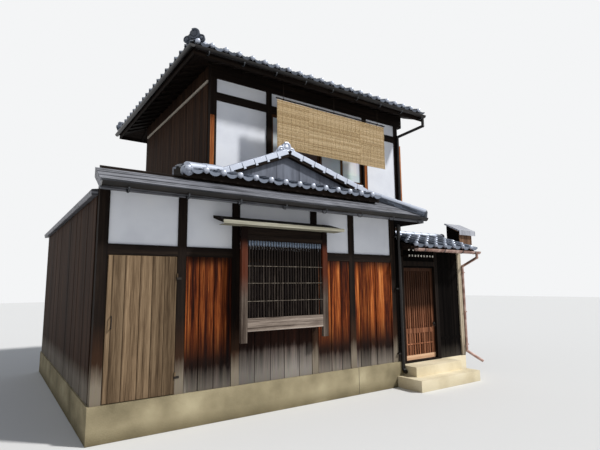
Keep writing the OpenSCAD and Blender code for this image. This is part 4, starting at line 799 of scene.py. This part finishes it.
def ornament(bm, base, facing, width, height, tone=0.4):
    """An ornamental ridge end on its base point: shoulders with scrolls under a round boss."""
    before = set(bm.verts)
    way = Vector(facing).normalized()
    side = Vector((0, 0, 1)).cross(way)
    place = Matrix.Translation(base) @ Matrix((way, side, Vector((0, 0, 1)))).transposed().to_4x4()
    block(bm, (-0.05, -width * 0.33, 0), (0, width * 0.33, height * 0.62), place=place)
    for way_y in (-1, 1):
        spot = place @ Matrix.Translation((0.004, way_y * width * 0.34, height * 0.34))
        disc(bm, spot, width * 0.16, 0.05, dome=0.03)
        ring(bm, spot, width * 0.155, 0.013)
    boss = place @ Matrix.Translation((0.008, 0, height * 0.68))
    disc(bm, boss, width * 0.24, 0.06, dome=0.02)
    ring(bm, boss @ Matrix.Rotation(math.radians(100), 4, "X"), width * 0.225, 0.019, sweep=290)
    set_tone(bm, [v for v in bm.verts if v not in before], tone)


bm = open_shape()
top = (EAVE_L + HIP_RUN, RIDGE_Y, RIDGE_Z)
lay_ridge(bm, (EAVE_R, RIDGE_Y, RIDGE_Z), top, 0.19, 4, 0.075, rng)
for y in (EAVE_F + 0.05, EAVE_B - 0.05):
    lay_ridge(bm, (EAVE_L + 0.05, y, EAVE_Z + 0.02), top, 0.15, 3, 0.066, rng)
ornament(bm, (EAVE_R + 0.055, RIDGE_Y, RIDGE_Z - 0.01), (1, 0, 0), 0.33, 0.28)
ornament(bm, (EAVE_L + 0.01, EAVE_F + 0.01, EAVE_Z), (-1, -1, 0), 0.36, 0.27, tone=0.1)
ornament(bm, (EAVE_L + 0.01, EAVE_B - 0.01, EAVE_Z), (-1, 1, 0), 0.33, 0.28)
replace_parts(close_tiles(bm, "upper_ridge_tiles"), "upper_ridges")

# The lower ridges: the street gable's, the corner's with its turned-up end, and the short
# one at the skirt's left end, which finishes in a round bulb.
RAKE_Y = 0.16
rake_foot = Vector((-0.896, RAKE_Y, 3.396))
skirt_corner = Vector((-1.45, -0.085, 3.323))
hip_foot = Vector((CORNER_X, PENT_Y, PENT_Z))
turned_end = hip_foot + Vector((0.012, -0.012, 0.075))
bm = open_shape()
lay_ridge(bm, (PEAK_X, 0.27, PEAK_Z), (PEAK_X, UPPER_FACE, PEAK_Z), 0.19, 3, 0.07, rng)
# This ornament's tone of 3.5 paints a bright highlight on it.
ornament(bm, (PEAK_X, 0.26, PEAK_Z + 0.02), (0, -1, 0), 0.32, 0.17, tone=3.5)
lay_ridge(bm, hip_foot, (BREAK_X, 0.3, BREAK_Z), 0.15, 3, 0.062, rng, step=0.26)
bmesh.ops.create_uvsphere(bm, u_segments=16, v_segments=10, radius=0.062,
                          matrix=Matrix.Translation(turned_end))
rod(bm, turned_end - Vector((0, 0, 0.1)), turned_end, 0.05, 18, tip=1.16)
lay_ridge(bm, skirt_corner, rake_foot + Vector((0.03, 0.013, 0.02)), 0.15, 2, 0.08, rng, step=0.3)
bulb_at = skirt_corner + Vector((-0.01, -0.03, 0))
bulb = bmesh.ops.create_uvsphere(bm, u_segments=20, v_segments=12, radius=0.09,
                                 matrix=Matrix.Translation(bulb_at))
# The bulb's tone of 2.4 paints a highlight on it.
set_tone(bm, bulb["verts"], 2.4)
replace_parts(close_tiles(bm, "lower_ridge_tiles"), "lower_ridges")

# Rakes: tiles with a turned-down face finish both edges of the street gable over a dark
# batten; each laps the one below it, with a half-round roll along its top.
right_foot = Vector((SKIRT_R, RAKE_Y, 3.4488))
bm = open_shape()
for foot, end in ((rake_foot, (PEAK_X - 0.02, RAKE_Y, PEAK_Z - 0.0084)),
                  (right_foot, (PEAK_X + 0.02, RAKE_Y, PEAK_Z - 0.0057))):
    place = slope_place(foot, end, (0, 1, 0))
    length = (Vector(end) - foot).length
    count = round(length / TILE_STEP)
    step = length / count
    roll = make_cap("rake_roll", 0.036, step + 0.01)
    for index in range(count):
        x0 = index * step
        # Each tile's tone above 3 paints a bright highlight on its face and roll.
        tone = rng.uniform(3.1, 3.9)
        block(bm, (x0 + 0.005, -0.014, -0.004), (x0 + step - 0.004, 0.008, 0.08), tone, place)
        block(bm, (x0 + 0.005, -0.013, -0.032), (x0 + 0.05, 0.006, 0.0), tone, place)
        block(bm, (x0, 0.0, 0.045), (x0 + step, 0.235, 0.065), 0.5, place)
        stamp(bm, roll, place @ Matrix.Translation((x0, 0.035, 0.06)), tone)
    bpy.data.meshes.remove(roll)
rake_tiles = close_piece(bm, "rake_tiles", tile_clay, bevel=0.003, smooth=True)
peak = Vector((PEAK_X, RAKE_Y, PEAK_Z))
bm = open_shape()
for foot in (rake_foot, right_foot):
    block(bm, (0, 0, -0.05), ((peak - foot).length, 0.11, 0.05), 0.3,
          slope_place(foot, peak, (0, 1, 0)))
close_piece(bm, "rake_battens", bedding, bevel=0.002)
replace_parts(rake_tiles, "gablet_rakes")


# Pent roof, lean-to and the gable's face: thin steel sheet, painted grey. The pent roof's
# courses lap each other along the eave, and the lean-to's sheets join in standing seams.
def sheet_metal(name, dark, light, roughness, runs=(14.0, 2.0, 2.0)):
    """Painted steel sheet: streaks drawn out along its runs, faint clouds of chalking, and shallow
    dents.
    """
    material, tree, shader, place = start_material(name, roughness, 0.3)
    drawn = add_node(tree, "Mapping", {0: place, "Scale": runs})
    streak = add_node(tree, "TexNoise", {"Vector": drawn, "Scale": 1.0, "Detail": 5.0})
    cloud = add_node(tree, "TexNoise", {"Vector": place, "Scale": 3.0, "Detail": 4.0})
    both = add_node(tree, "Mix", {0: 0.25, 2: streak, 3: cloud})
    tint = add_node(tree, "ValToRGB", {0: both}, stops=[(0.38, dark), (0.62, light)])
    dent = add_node(tree, "Bump", {"Height": cloud, "Strength": 0.3, "Distance": 0.01})
    wire(tree, shader, {"Base Color": tint, "Normal": dent})
    return material


# On the pent roof the streaks run along the eave as bright and dark bands; on the lean-to they run
# down its slope.
pent_metal = sheet_metal("chalked_grey_roof_sheet", "#26272b", "#93949b", 0.55,
                         runs=(0.7, 38.0, 38.0))
gable_metal = sheet_metal("slate_grey_wall_sheet", "#4a4e59", "#666b77", 0.55)
dress(pent_metal, "pent_roof", "lean_to_roof")
dress(gable_metal, "gablet_face")
LEAN_X, LEAN_Z = -2.5925, 2.9505
SHEET_STEP, SEAM_STEP = 0.145, 0.47
sheet_l, sheet_r = LEAN_X - 0.004, CORNER_X + 0.01
place = slope_place((0, PENT_Y, PENT_Z), (0, 0.3, BREAK_Z), (1, 0, 0))
bm = open_shape()
for course, reach in enumerate((0.16, 0.16, 0.15)):
    start = course * SHEET_STEP - 0.006
    verts = block(bm, (start, sheet_l, 0.001), (start + reach, sheet_r, 0.006))
    low = [v for v in verts if v.co.x < start + 0.01]
    bmesh.ops.translate(bm, verts=low, vec=(0, 0, 0.009))
    bmesh.ops.transform(bm, matrix=place, verts=verts)
    block(bm, (start, sheet_l, -0.012), (start + 0.006, sheet_r, 0.014), 0.7, place)
fill_cut(bm, bmesh.ops.bisect_plane(bm, geom=bm.verts[:] + bm.edges[:] + bm.faces[:],
                                    plane_co=(sheet_r, PENT_Y, 0), plane_no=rear_side,
                                    clear_outer=True))
close_piece(bm, "pent_sheet_courses", pent_metal, bevel=0.0015)

bm = open_shape()
place = slope_place((LEAN_X, 0, LEAN_Z), (TILE_L, 0, TILE_L_Z), (0, 1, 0))
for index in range(13):
    y = 0.09 + index * SEAM_STEP
    block(bm, (0, y - 0.006, 0.0), (1.08, y + 0.006, 0.026), place=place)
block(bm, (-0.012, 0.06, -0.05), (0.0, TILE_B, 0.012), place=place)
close_piece(bm, "lean_to_seams", pent_metal, bevel=0.001)

bm = open_shape()
for x in (-0.27, 0.188, 0.63, 1.068, 1.5):
    fall = 0.42 if x < PEAK_X else 0.2692
    block(bm, (x - 0.011, 0.234, 3.42), (x, 0.24, PEAK_Z - abs(x - PEAK_X) * fall - 0.05))
close_piece(bm, "gable_sheet_laps", gable_metal, bevel=0.001)

# Gutters: half-round gutters and round pipes of dark brown plastic, held by galvanised
# hooks. The left eave's gutter hangs before an upright board.
gutter_plastic = mottled("dark_brown_plastic_gutter", 0.34, 0.0, 5.0, 5.0,
                         [(0.35, "#0d0b0a"), (0.6, "#1a1614"), (0.8, "#2a2421")])
gutter_plastic.node_tree.nodes["Principled BSDF"].inputs["Specular IOR Level"].default_value = 0.3
dress(gutter_plastic, "upper_gutter", "lower_gutter")
material, tree, shader, place = start_material("galvanised_hook_steel", 0.45, 0.85)
spangle = add_node(tree, "TexVoronoi", {"Vector": place, "Scale": 160.0}, out="Distance")
tint = add_node(tree, "ValToRGB", {0: spangle}, stops=[(0.2, "#2f3134"), (0.8, "#55585c")])
wire(tree, shader, {"Base Color": tint})
hook_steel = material


STRAP_W, STRAP_T = 0.018, 0.004


def hang_hooks(bm, xs, y, z, radius, back_y):
    """Strap hooks round a half-round gutter along X, each with an arm to the wall behind."""
    for x in xs:
        before = set(bm.verts)
        strap = bmesh.ops.create_grid(bm, x_segments=1, y_segments=1, size=0.5,
                                      matrix=Matrix.LocRotScale((0, radius + STRAP_T / 2, 0), None,
                                                                (STRAP_W, STRAP_T, 1)))
        bmesh.ops.spin(bm, geom=around(strap["verts"]), axis=(1, 0, 0), cent=(0, 0, 0),
                       angle=-math.pi, steps=14)
        bmesh.ops.translate(bm, verts=[v for v in bm.verts if v not in before], vec=(x, y, z))
        block(bm, (x - STRAP_W / 2, y + radius, z - 0.003), (x + STRAP_W / 2, back_y, z + 0.001))


def trough(bm, start, length, radius, wall, way):
    """A half-round gutter with closed ends, from its start along a level way."""
    before = set(bm.verts)
    verts = rod(bm, (0, 0, 0), (length, 0, 0), radius, 32)
    bmesh.ops.bisect_plane(bm, geom=around(verts), plane_co=(0, 0, 0), plane_no=(0, 0, 1),
                           clear_outer=True)
    half = around([v for v in bm.verts if v not in before])
    bmesh.ops.solidify(bm, geom=[g for g in half if isinstance(g, bmesh.types.BMFace)],
                       thickness=wall)
    turn = Vector((1, 0, 0)).rotation_difference(Vector(way)).to_matrix().to_4x4()
    bmesh.ops.transform(bm, verts=[v for v in bm.verts if v not in before],
                        matrix=Matrix.Translation(start) @ turn)


bm = open_shape()
trough(bm, (EAVE_L - 0.052, EAVE_F - 0.1, 5.706), EAVE_B - EAVE_F + 0.14, 0.052, 0.003, (0, 1, 0))
block(bm, (EAVE_L - 0.022, EAVE_F - 0.01, 5.68), (EAVE_L - 0.006, EAVE_B + 0.01, 5.838), 0.4)
close_piece(bm, "left_eave_gutter", gutter_plastic, smooth=True)
bm = open_shape()
hang_hooks(bm, [-2.3 + 0.72 * i for i in range(8)], -0.495, 2.915, 0.055, PENT_Y + 0.01)
hang_hooks(bm, [-0.8 + 0.66 * i for i in range(9)], 0.835, 5.656, 0.055, EAVE_F + 0.01)
close_piece(bm, "gutter_hooks", hook_steel)

# Eaves: thin boards, smoked dark and painted near black as the shade under the eaves, lie
# over the rafters and close the roof from below; the rafters and the board across their
# ends are the imported ones.
dress(beam_wood, "upper_rafters")
# The soffit's near-black stops are partly painted shade for the deep shadow under the eaves.
soffit_wood = timber("smoked_soffit_boards_painted_shade",
                     [(0.3, "#0d0a08"), (0.5, "#1b1410"), (0.72, "#2a201a")], along="X")
strip_wood = timber("pale_head_strip", [(0.3, "#8b8378"), (0.5, "#a89f92"), (0.7, "#bdb4a6")],
                    along="X")
SOFFIT_W, SOFFIT_ROWS, UNDER = 0.138, 4, -0.13
bm = open_shape()
for start, end, side, y0, y1 in (
        ((0, EAVE_F, EAVE_Z), (0, EAVE_F + 0.5, EAVE_Z + 0.2), (1, 0, 0), EAVE_L, EAVE_R + 0.02),
        ((0, EAVE_B, EAVE_Z), (0, EAVE_B - 0.5, EAVE_Z + 0.2), (1, 0, 0), EAVE_L, EAVE_R + 0.02),
        ((EAVE_L, 0, EAVE_Z), (EAVE_L + 0.5, 0, EAVE_Z + 0.2), (0, 1, 0), EAVE_F, EAVE_B)):
    place = slope_place(start, end, side)
    for row in range(SOFFIT_ROWS):
        x0 = 0.03 + row * SOFFIT_W
        block(bm, (x0, y0 + 0.03, UNDER - 0.01), (x0 + SOFFIT_W - 0.004, y1 - 0.03, UNDER + 0.004),
              rng.random(), place)
close_piece(bm, "eaves_soffit", soffit_wood)
bm = open_shape()
block(bm, (-0.512, 1.56, 5.5), (-0.486, 5.38, 5.545), 0.7)
close_piece(bm, "upper_wall_head_strip", strip_wood, bevel=0.002)

# Blinds: three blinds of split reeds, sewn with hemp thread and tied to one bamboo rod,
# which hangs on cords from the eaves. Sun has bleached them straw yellow.
material, tree, shader, place = start_material("bleached_split_reed", 0.62)
tone = add_node(tree, "Attribute", {}, out="Fac", attribute_name="tone")
lengths = add_node(tree, "Mapping", {0: place, "Scale": (70.0, 1.0, 150.0)})
patch = add_node(tree, "TexNoise", {"Vector": lengths, "Scale": 1.0, "Detail": 4.0,
                                    "Roughness": 0.7})
both = add_node(tree, "Mix", {0: 0.12, 2: patch, 3: tone})
tint = add_node(tree, "ValToRGB", {0: both}, stops=[(0.34, "#5f4b35"), (0.44, "#a3895f"),
                                                   (0.54, "#ceb48c"), (0.68, "#efe0c2")])
wire(tree, shader, {"Base Color": tint})
reed = material
REED_STEP, REED_R, STITCH_STEP = 0.0085, 0.0042, 0.11
ROD_Z, ROD_Y = 5.245, 0.95
for index, (x0, x1, y, foot) in enumerate(((0.615, 1.35, 0.9415, 4.285),
                                           (1.325, 2.68, 0.95, 4.285),
                                           (2.65, 3.395, 0.9585, 4.279))):
    bm = open_shape()
    count = int((ROD_Z - 0.02 - foot) / REED_STEP)
    for row in range(count):
        z = foot + row * REED_STEP
        ends = (x0 + rng.uniform(0, 0.006), x1 - rng.uniform(0, 0.006))
        thick = REED_R + (0.0012 if row in (0, 1, count - 1) else rng.uniform(-0.0004, 0.0004))
        set_tone(bm, rod(bm, (ends[0], y, z), (ends[1], y, z), thick, 6), rng.random())
    blind = close_piece(bm, f"blind_reeds_{index + 1}", reed)
    if index == 0:
        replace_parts(blind, "bamboo_blinds")
    bm = open_shape()
    rows = round((x1 - x0) / STITCH_STEP)
    for row in range(rows + 1):
        x = x0 + 0.02 + (x1 - x0 - 0.04) * row / rows
        for face_y in (y - 0.0052, y + 0.0038):
            block(bm, (x - 0.0015, face_y, foot - 0.004),
                  (x + 0.0015, face_y + 0.0014, ROD_Z), 0.4)
    hemp = timber(f"hemp_stitching_{index + 1}", [(0.3, "#6d5231"), (0.6, "#8a6c44")])
    close_piece(bm, f"blind_stitches_{index + 1}", hemp)
# The rod takes the smoked stops, which carry painted shade.
bm = open_shape()
for radius, x0, x1 in ((0.0125, 0.6, 3.41), (0.0138, 1.33, 1.345), (0.0138, 2.66, 2.675)):
    rod(bm, (x0, ROD_Y, ROD_Z), (x1, ROD_Y, ROD_Z), radius, 14, tip=0.94)
close_piece(bm, "blind_rod", timber("smoked_shaded_bamboo_rod", SMOKED_AND_SHADE, along="X"), smooth=True)
CORD_TOP, CORD_R = 5.655, 0.004
bm = open_shape()
for x in (0.768, 1.98, 3.192):
    rod(bm, (x, ROD_Y, ROD_Z), (x, ROD_Y, CORD_TOP), CORD_R, 8)
    ring(bm, Matrix.Translation((x, ROD_Y, ROD_Z)), 0.017, CORD_R)
for x in (0.66, 1.02, 1.29, 1.56, 2.28, 2.6, 2.78, 3.33):
    ring(bm, Matrix.Translation((x, ROD_Y, ROD_Z - 0.006)), 0.021, 0.0025)
close_piece(bm, "blind_cords", timber("tarred_hanging_cord", [(0.3, "#17120e"), (0.6, "#2b221b")]),
            smooth=True)

# Post faces: thin facings of reddish cedar on the upper posts' lower halves, painted bright
# orange as the sunlight that reaches there under the eaves.
facing_wood = timber("cedar_facing_painted_sunlight", [(0.34, "#3a1a0c"), (0.46, "#7c4220"),
                                             (0.58, "#ad6a38"), (0.72, "#d29a64")], grain_mm=7)
bm = open_shape()
for x0, x1, top in ((-0.4845, -0.41, 4.85), (3.24, 3.31, 4.6), (4.375, 4.425, 5.1)):
    block(bm, (x0, UPPER_FACE - 0.0035, 3.35), (x1, UPPER_FACE - 0.0005, top),
          rng.uniform(0.4, 0.8))
close_piece(bm, "post_facings_painted_sunlight", facing_wood)

# Window glass: the upper sashes' curtain is drawn half across, and the sheet of white
# paper on the right-hand pane stands behind the glass; the other panes are painted dark or
# half lit, as the shade of the rooms behind them.
paper = glass("papered_window_glass", "#eef2f6")
dim = glass("half_lit_window_glass", "#8f93a0")
UPPER_PANE_Z, LATTICE_PANE_Z, REAR_PANE_Z = (4.045, 5.09), (1.255, 2.115), (1.375, 2.115)
REAR_Y, SASH_T = 5.423, 0.034
panes = [("upper_pane_2_drawn", (1.449, 1.69), 1.5165, UPPER_PANE_Z, dim),
         ("upper_pane_4_paper", (2.7, 3.06), 1.5155, (4.19, 4.5), paper),
         ("lattice_pane_left", (-0.585, -0.03), -SASH_T / 2, LATTICE_PANE_Z, dark_room_glass),
         ("lattice_pane_right", (0.03, 0.585), SASH_T / 2, LATTICE_PANE_Z, dark_room_glass),
         ("entrance_pane", (2.88, 3.64), 1.486, (0.475, 2.195), dark_room_glass)]
for count, step, wide, z, row in ((2, 1.2, 1.11, REAR_PANE_Z, "lower"),
                                  (4, 0.6, 0.51, UPPER_PANE_Z, "upper")):
    panes += [(f"rear_{row}_pane_{i + 1}", (0.46 + step * i, 0.46 + step * i + wide),
               REAR_Y + SASH_T * (i % 2), z, dim) for i in range(count)]
for name, x, y, z, material in panes:
    bm = open_shape()
    block(bm, (x[0], y - 0.0035, z[0]), (x[1], y + 0.0035, z[1]))
    close_piece(bm, name, material, bevel=0.0008)

# Gate: dark posts and beams carry a small tiled roof on rafters whose sawn ends are limed
# white; the outer post keeps a pale sawn facing.
GATE_L, GATE_R = 2.6455, 4.5195
GATE_EAVE, GATE_RIDGE = -0.355, 0.43
GATE_Z, GATE_TOP = 2.47, 2.7369
GATE_REAR = 2 * GATE_RIDGE - GATE_EAVE
gate_run, gate_rise = GATE_RIDGE - GATE_EAVE, GATE_TOP - GATE_Z
# The gate's posts and beams take the smoked stops, which carry painted shade.
dress(timber("smoked_shaded_gate_posts", SMOKED_AND_SHADE), "gate_frame")
bm = open_shape()
ROOF_BOARDS = 5
board_w = math.hypot(gate_run, gate_rise) / ROOF_BOARDS
for eave_y in (GATE_EAVE, GATE_REAR):
    place = slope_place((0, eave_y, GATE_Z), (0, GATE_RIDGE, GATE_TOP), (1, 0, 0))
    for row in range(ROOF_BOARDS):
        block(bm, (row * board_w, GATE_L, -0.078), ((row + 1) * board_w - 0.002, GATE_R, -0.002),
              rng.random(), place)
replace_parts(close_piece(bm, "gate_roof_boards", bedding, bevel=0.002), "gate_roof")
bm = open_shape()
# Every course here carries a lip and boss with softer painted highlights, for the sun glinting on
# each tile.
lay_tiles(bm, (GATE_L, GATE_EAVE, GATE_Z), (0, 1, 0), GATE_R - GATE_L, gate_run, gate_rise, rng,
          glint=0.72, lips=True)
lay_tiles(bm, (GATE_L, GATE_REAR, GATE_Z), (0, -1, 0), GATE_R - GATE_L, gate_run, gate_rise, rng,
          mirrored=True)
close_tiles(bm, "gate_tiles")
bm = open_shape()
lay_ridge(bm, (GATE_L, GATE_RIDGE, GATE_TOP + 0.03), (GATE_R, GATE_RIDGE, GATE_TOP + 0.03),
          0.15, 1, 0.06, rng)
disc(bm, Matrix.Translation((GATE_R + 0.012, GATE_RIDGE, GATE_TOP + 0.062)), 0.066, 0.03,
     dome=0.015)
close_tiles(bm, "gate_ridge_tiles")

# Gate rafters and arms: small square timbers under the roof and on the beam below it. A
# thin white cap of lime stands on each sawn end.
RAFTER_W, ARM_W = 0.034, 0.03
RAFTER_Z = (-0.116, -0.08)
place = slope_place((0, GATE_EAVE, GATE_Z), (0, GATE_RIDGE, GATE_TOP), (1, 0, 0))
spots = [GATE_L + 0.04 + 0.115 * index for index in range(16)]
arms = [2.735 + 0.081 * index for index in range(9)]
bm = open_shape()
for x in spots:
    block(bm, (0.09, x, RAFTER_Z[0]), (0.34, x + RAFTER_W, RAFTER_Z[1]), rng.random(), place)
close_piece(bm, "gate_rafters", beam_wood, bevel=0.0015)
bm = open_shape()
for x in arms:
    block(bm, (x, -0.2, 2.285), (x + ARM_W, -0.005, 2.318), rng.random())
close_piece(bm, "gate_arms", beam_wood, bevel=0.0015)
limed = timber("limed_rafter_ends", [(0.3, "#b9b4a8"), (0.6, "#dcd8ce")])
bm = open_shape()
for x in spots:
    block(bm, (0.084, x, RAFTER_Z[0]), (0.0895, x + RAFTER_W, RAFTER_Z[1]), rng.random(), place)
for x in arms:
    block(bm, (x - 0.001, -0.2045, 2.284), (x + ARM_W + 0.001, -0.2005, 2.319), rng.random())
close_piece(bm, "gate_rafter_ends", limed, bevel=0.001)
GATE_FOOT, GATE_HEAD = 0.352, 2.42
sawn = timber("pale_sawn_facing", [(0.3, "#8f8270"), (0.5, "#b7aa93"), (0.7, "#d2c6ae")],
              layers=[("#6f6455", 0.75, 0.5, 0.6)])
bm = open_shape()
for x0, y0, x1, y1, tone in ((4.4235, -0.012, 4.4655, -0.0052, 0.8),
                             (4.4695, -0.014, 4.5195, -0.0052, 0.3),
                             (4.4165, -0.01, 4.4292, 0.086, 0.6)):
    block(bm, (x0, y0, GATE_FOOT + 0.008), (x1, y1, GATE_HEAD), tone)
close_piece(bm, "gate_post_facing", sawn, bevel=0.0015)

# Gate wall: upright boards, black with old stain, on a dark backing beside the leaf and
# over its head; splashes have greyed their feet. A strip stops the leaf's head, and one
# board closes the corner of the house over the gate's beam.
stained = timber("black_stained_gate_boards",
                 [(0.32, "#050404"), (0.5, "#0d0b0a"), (0.72, "#1c1714")],
                 layers=[("#4a453f", 0.6, 0.36, 0.65)])
stained.node_tree.nodes["Principled BSDF"].inputs["Specular IOR Level"].default_value = 0.01
dress(stained, "gate_panel")
PANEL_L, PANEL_R = 3.7595, 4.4285
LINTEL_Z = 2.216
bm = open_shape()
stand_boards(bm, [PANEL_L, 3.92, 4.07, 4.235, PANEL_R], 0.028, (GATE_FOOT, GATE_HEAD), 0.012,
             0.005, rng)
stand_boards(bm, [2.796, 3.0, 3.2, 3.42, 3.668], 0.028, (LINTEL_Z, GATE_HEAD), 0.01, 0.004, rng)
stand_boards(bm, [PANEL_L, 3.98, 4.2, PANEL_R], 0.052, (GATE_FOOT, GATE_HEAD), 0.01, 0.004, rng,
             towards=1)
for z in (0.7, 2.05):
    block(bm, (PANEL_L, 0.0125, z), (PANEL_R, 0.0285, z + 0.05), 0.4)
block(bm, (2.8, 0.024, 2.09), (3.665, 0.046, 2.128), 0.5)
block(bm, (2.41, 0.066, 2.3), (2.7, 0.08, 2.9), 0.3)
close_piece(bm, "gate_wall_boards", stained, bevel=0.0015)

# Gate leaf: red-brown stiles and rails over a boarded back with upright fillets, painted
# darker above the lock rail as the gate roof's shadow; it swings on two iron pins.
# Its dark layer above the lock rail is painted shadow of the gate roof.
leaf_red = timber("red_stained_gate_leaf_shaded_top",
                  [(0.34, "#301a10"), (0.46, "#6f452f"), (0.58, "#a87052"), (0.74, "#c89672")],
                  grain_mm=7, roughness=0.6, spread=(0.75, 1.25),
                  layers=[("#2a1c14", 1.25, 1.4, 0.8)])
kick_wood = timber("worn_kick_board", [(0.3, "#9b7358"), (0.5, "#c39c7c"), (0.7, "#dcc0a2")],
                   along="X")
dress(leaf_red, "gate_door")
BACK_L, BACK_W, BACK_COUNT = 2.8725, 0.0895, 8
FILLET_L, FILLET_R, FILLET_COUNT = 2.886, 3.5735, 11
bm = open_shape()
for index in range(BACK_COUNT):
    x = BACK_L + index * BACK_W
    block(bm, (x + 0.002, 0.0755, 0.47), (x + BACK_W - 0.002, 0.0835, 2.03), rng.random())
close_piece(bm, "gate_leaf_back", leaf_red, body="gate_leaf", bevel=0.0015)
bm = open_shape()
for index in range(FILLET_COUNT):
    x = FILLET_L + index * (FILLET_R - FILLET_L) / (FILLET_COUNT - 1)
    block(bm, (x - 0.013, 0.05, 0.474), (x + 0.013, 0.0585, 0.868), rng.random())
block(bm, (BACK_L, 0.0455, 0.662), (3.5925, 0.0525, 0.684), 1.0)
close_piece(bm, "gate_leaf_fillets", leaf_red, body="gate_leaf", bevel=0.002)
bm = open_shape()
block(bm, (2.8045, 0.0455, 0.389), (3.6605, 0.0492, 0.474), 0.9)
close_piece(bm, "gate_leaf_sill_board", kick_wood, body="gate_leaf", bevel=0.0015)
PULL_X = 3.6275
bm = open_shape()
ring(bm, Matrix.Translation((PULL_X, 0.022, 1.0)) @ Matrix.Rotation(math.pi / 2, 4, "Z"), 0.03,
     0.0045)
disc(bm, Matrix.Translation((PULL_X, 0.024, 1.027)) @ Matrix.Rotation(-math.pi / 2, 4, "Z"), 0.02,
     0.008, dome=0.006)
close_piece(bm, "gate_ring_pull", iron, body="gate_leaf", smooth=True)


# Gate gutter: a half-round of copper gone pinkish brown, on strap hooks; its pipe runs
# down beside the outer post and kicks out at the foot.
def pipe_run(bm, points, radius):
    """A round pipe through points, with a wider sleeve at each bend."""
    for start, end in zip(points, points[1:]):
        rod(bm, start, end, radius, 18)
    for point in points[1:-1]:
        bmesh.ops.create_uvsphere(bm, u_segments=18, v_segments=12, radius=radius * 1.12,
                                  matrix=Matrix.Translation(point))


copper = mottled("tarnished_copper_gutter", 0.42, 0.6, 8.0, 6.0,
                 [(0.3, "#7d5b50"), (0.5, "#a58478"), (0.72, "#cdb3a8")])
GUTTER_X0, GUTTER_X1, GUTTER_Y, GUTTER_Z = 2.7055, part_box("gate_gutter")[1].x, -0.41, 2.42
PIPE_X, PIPE_Y = 4.552, -0.02
bm = open_shape()
trough(bm, (GUTTER_X0, GUTTER_Y, GUTTER_Z), GUTTER_X1 - GUTTER_X0, 0.053, 0.003, (1, 0, 0))
pipe_run(bm, [(4.5, GUTTER_Y, GUTTER_Z - 0.04), (4.5, GUTTER_Y, 2.3), (PIPE_X, PIPE_Y, 2.14),
              (PIPE_X, PIPE_Y, 0.43), (4.86, -0.16, 0.215)], 0.027)
for z in (2.0, 1.2, 0.55):
    block(bm, (4.515, PIPE_Y - 0.03, z), (4.584, 0.012, z + 0.022))
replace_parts(close_piece(bm, "copper_gutter_and_pipe", copper, smooth=True),
            "gate_gutter")
bm = open_shape()
hang_hooks(bm, [2.9, 3.45, 4.0, 4.4], GUTTER_Y, GUTTER_Z, 0.054, GATE_EAVE + 0.01)
close_piece(bm, "gate_gutter_hooks", hook_steel)

# Meter box: narrow upright boards round the meters, under a sloping hood of pale painted
# sheet with a turned-down edge.
meter_low, meter_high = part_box("meter_box")
meter_wood = timber("weathered_meter_boards",
                    [(0.3, "#3d2a1c"), (0.5, "#6d5240"), (0.66, "#94775e"), (0.8, "#bda58a")],
                    grain_mm=7)
hood_metal = sheet_metal("pale_painted_hood_sheet", "#84858c", "#aeb0b7", 0.5)
dress(meter_wood, "meter_box")
BOX_L, BOX_R, BOX_F, BOX_B = 4.5195, 4.9295, -0.005, 0.295
BOX_Z, BOX_TOP, BOX_RISE = 2.479, 2.869, 0.18


def under_hood(y):
    """Height of the side boards' heads under the sloping hood."""
    return BOX_TOP - 0.01 + 0.6 * (y - BOX_F)


bm = open_shape()
stand_boards(bm, [BOX_L, 4.6, 4.685, 4.765, 4.85, BOX_R], BOX_F, (BOX_Z, BOX_TOP - 0.004), 0.01,
             0.003, rng)
for x in (BOX_L, BOX_R - 0.03):
    block(bm, (x, BOX_F - 0.016, BOX_Z), (x + 0.03, BOX_F - 0.009, BOX_TOP - 0.006), 1.0)
board_side(bm, BOX_R, (BOX_F, BOX_B), BOX_Z, under_hood, 1, 0.075, rng)
close_piece(bm, "meter_box_boards", meter_wood, bevel=0.001)
# The left side takes the black gate boards' colour as painted shade, on the side away from the
# light.
bm = open_shape()
board_side(bm, BOX_L, (BOX_F, BOX_B), BOX_Z, under_hood, -1, 0.075, rng)
close_piece(bm, "meter_box_shaded_side", stained, bevel=0.001)
bm = open_shape()
place = slope_place((0, BOX_F - 0.06, BOX_TOP + 0.02), (0, BOX_B, BOX_TOP + BOX_RISE + 0.02),
                    (1, 0, 0))
length = math.hypot(BOX_B - BOX_F + 0.06, BOX_RISE)
block(bm, (-0.006, meter_low.x - 0.004, 0.001), (length, meter_high.x + 0.004, 0.005), place=place)
for x in (meter_low.x - 0.005, meter_high.x):
    block(bm, (-0.006, x, -0.024), (length, x + 0.005, 0.005), place=place)
block(bm, (meter_low.x - 0.005, meter_low.y - 0.006, BOX_TOP - 0.075),
      (meter_high.x + 0.005, meter_low.y - 0.001, BOX_TOP + 0.022))
close_piece(bm, "meter_hood", hood_metal, bevel=0.001)
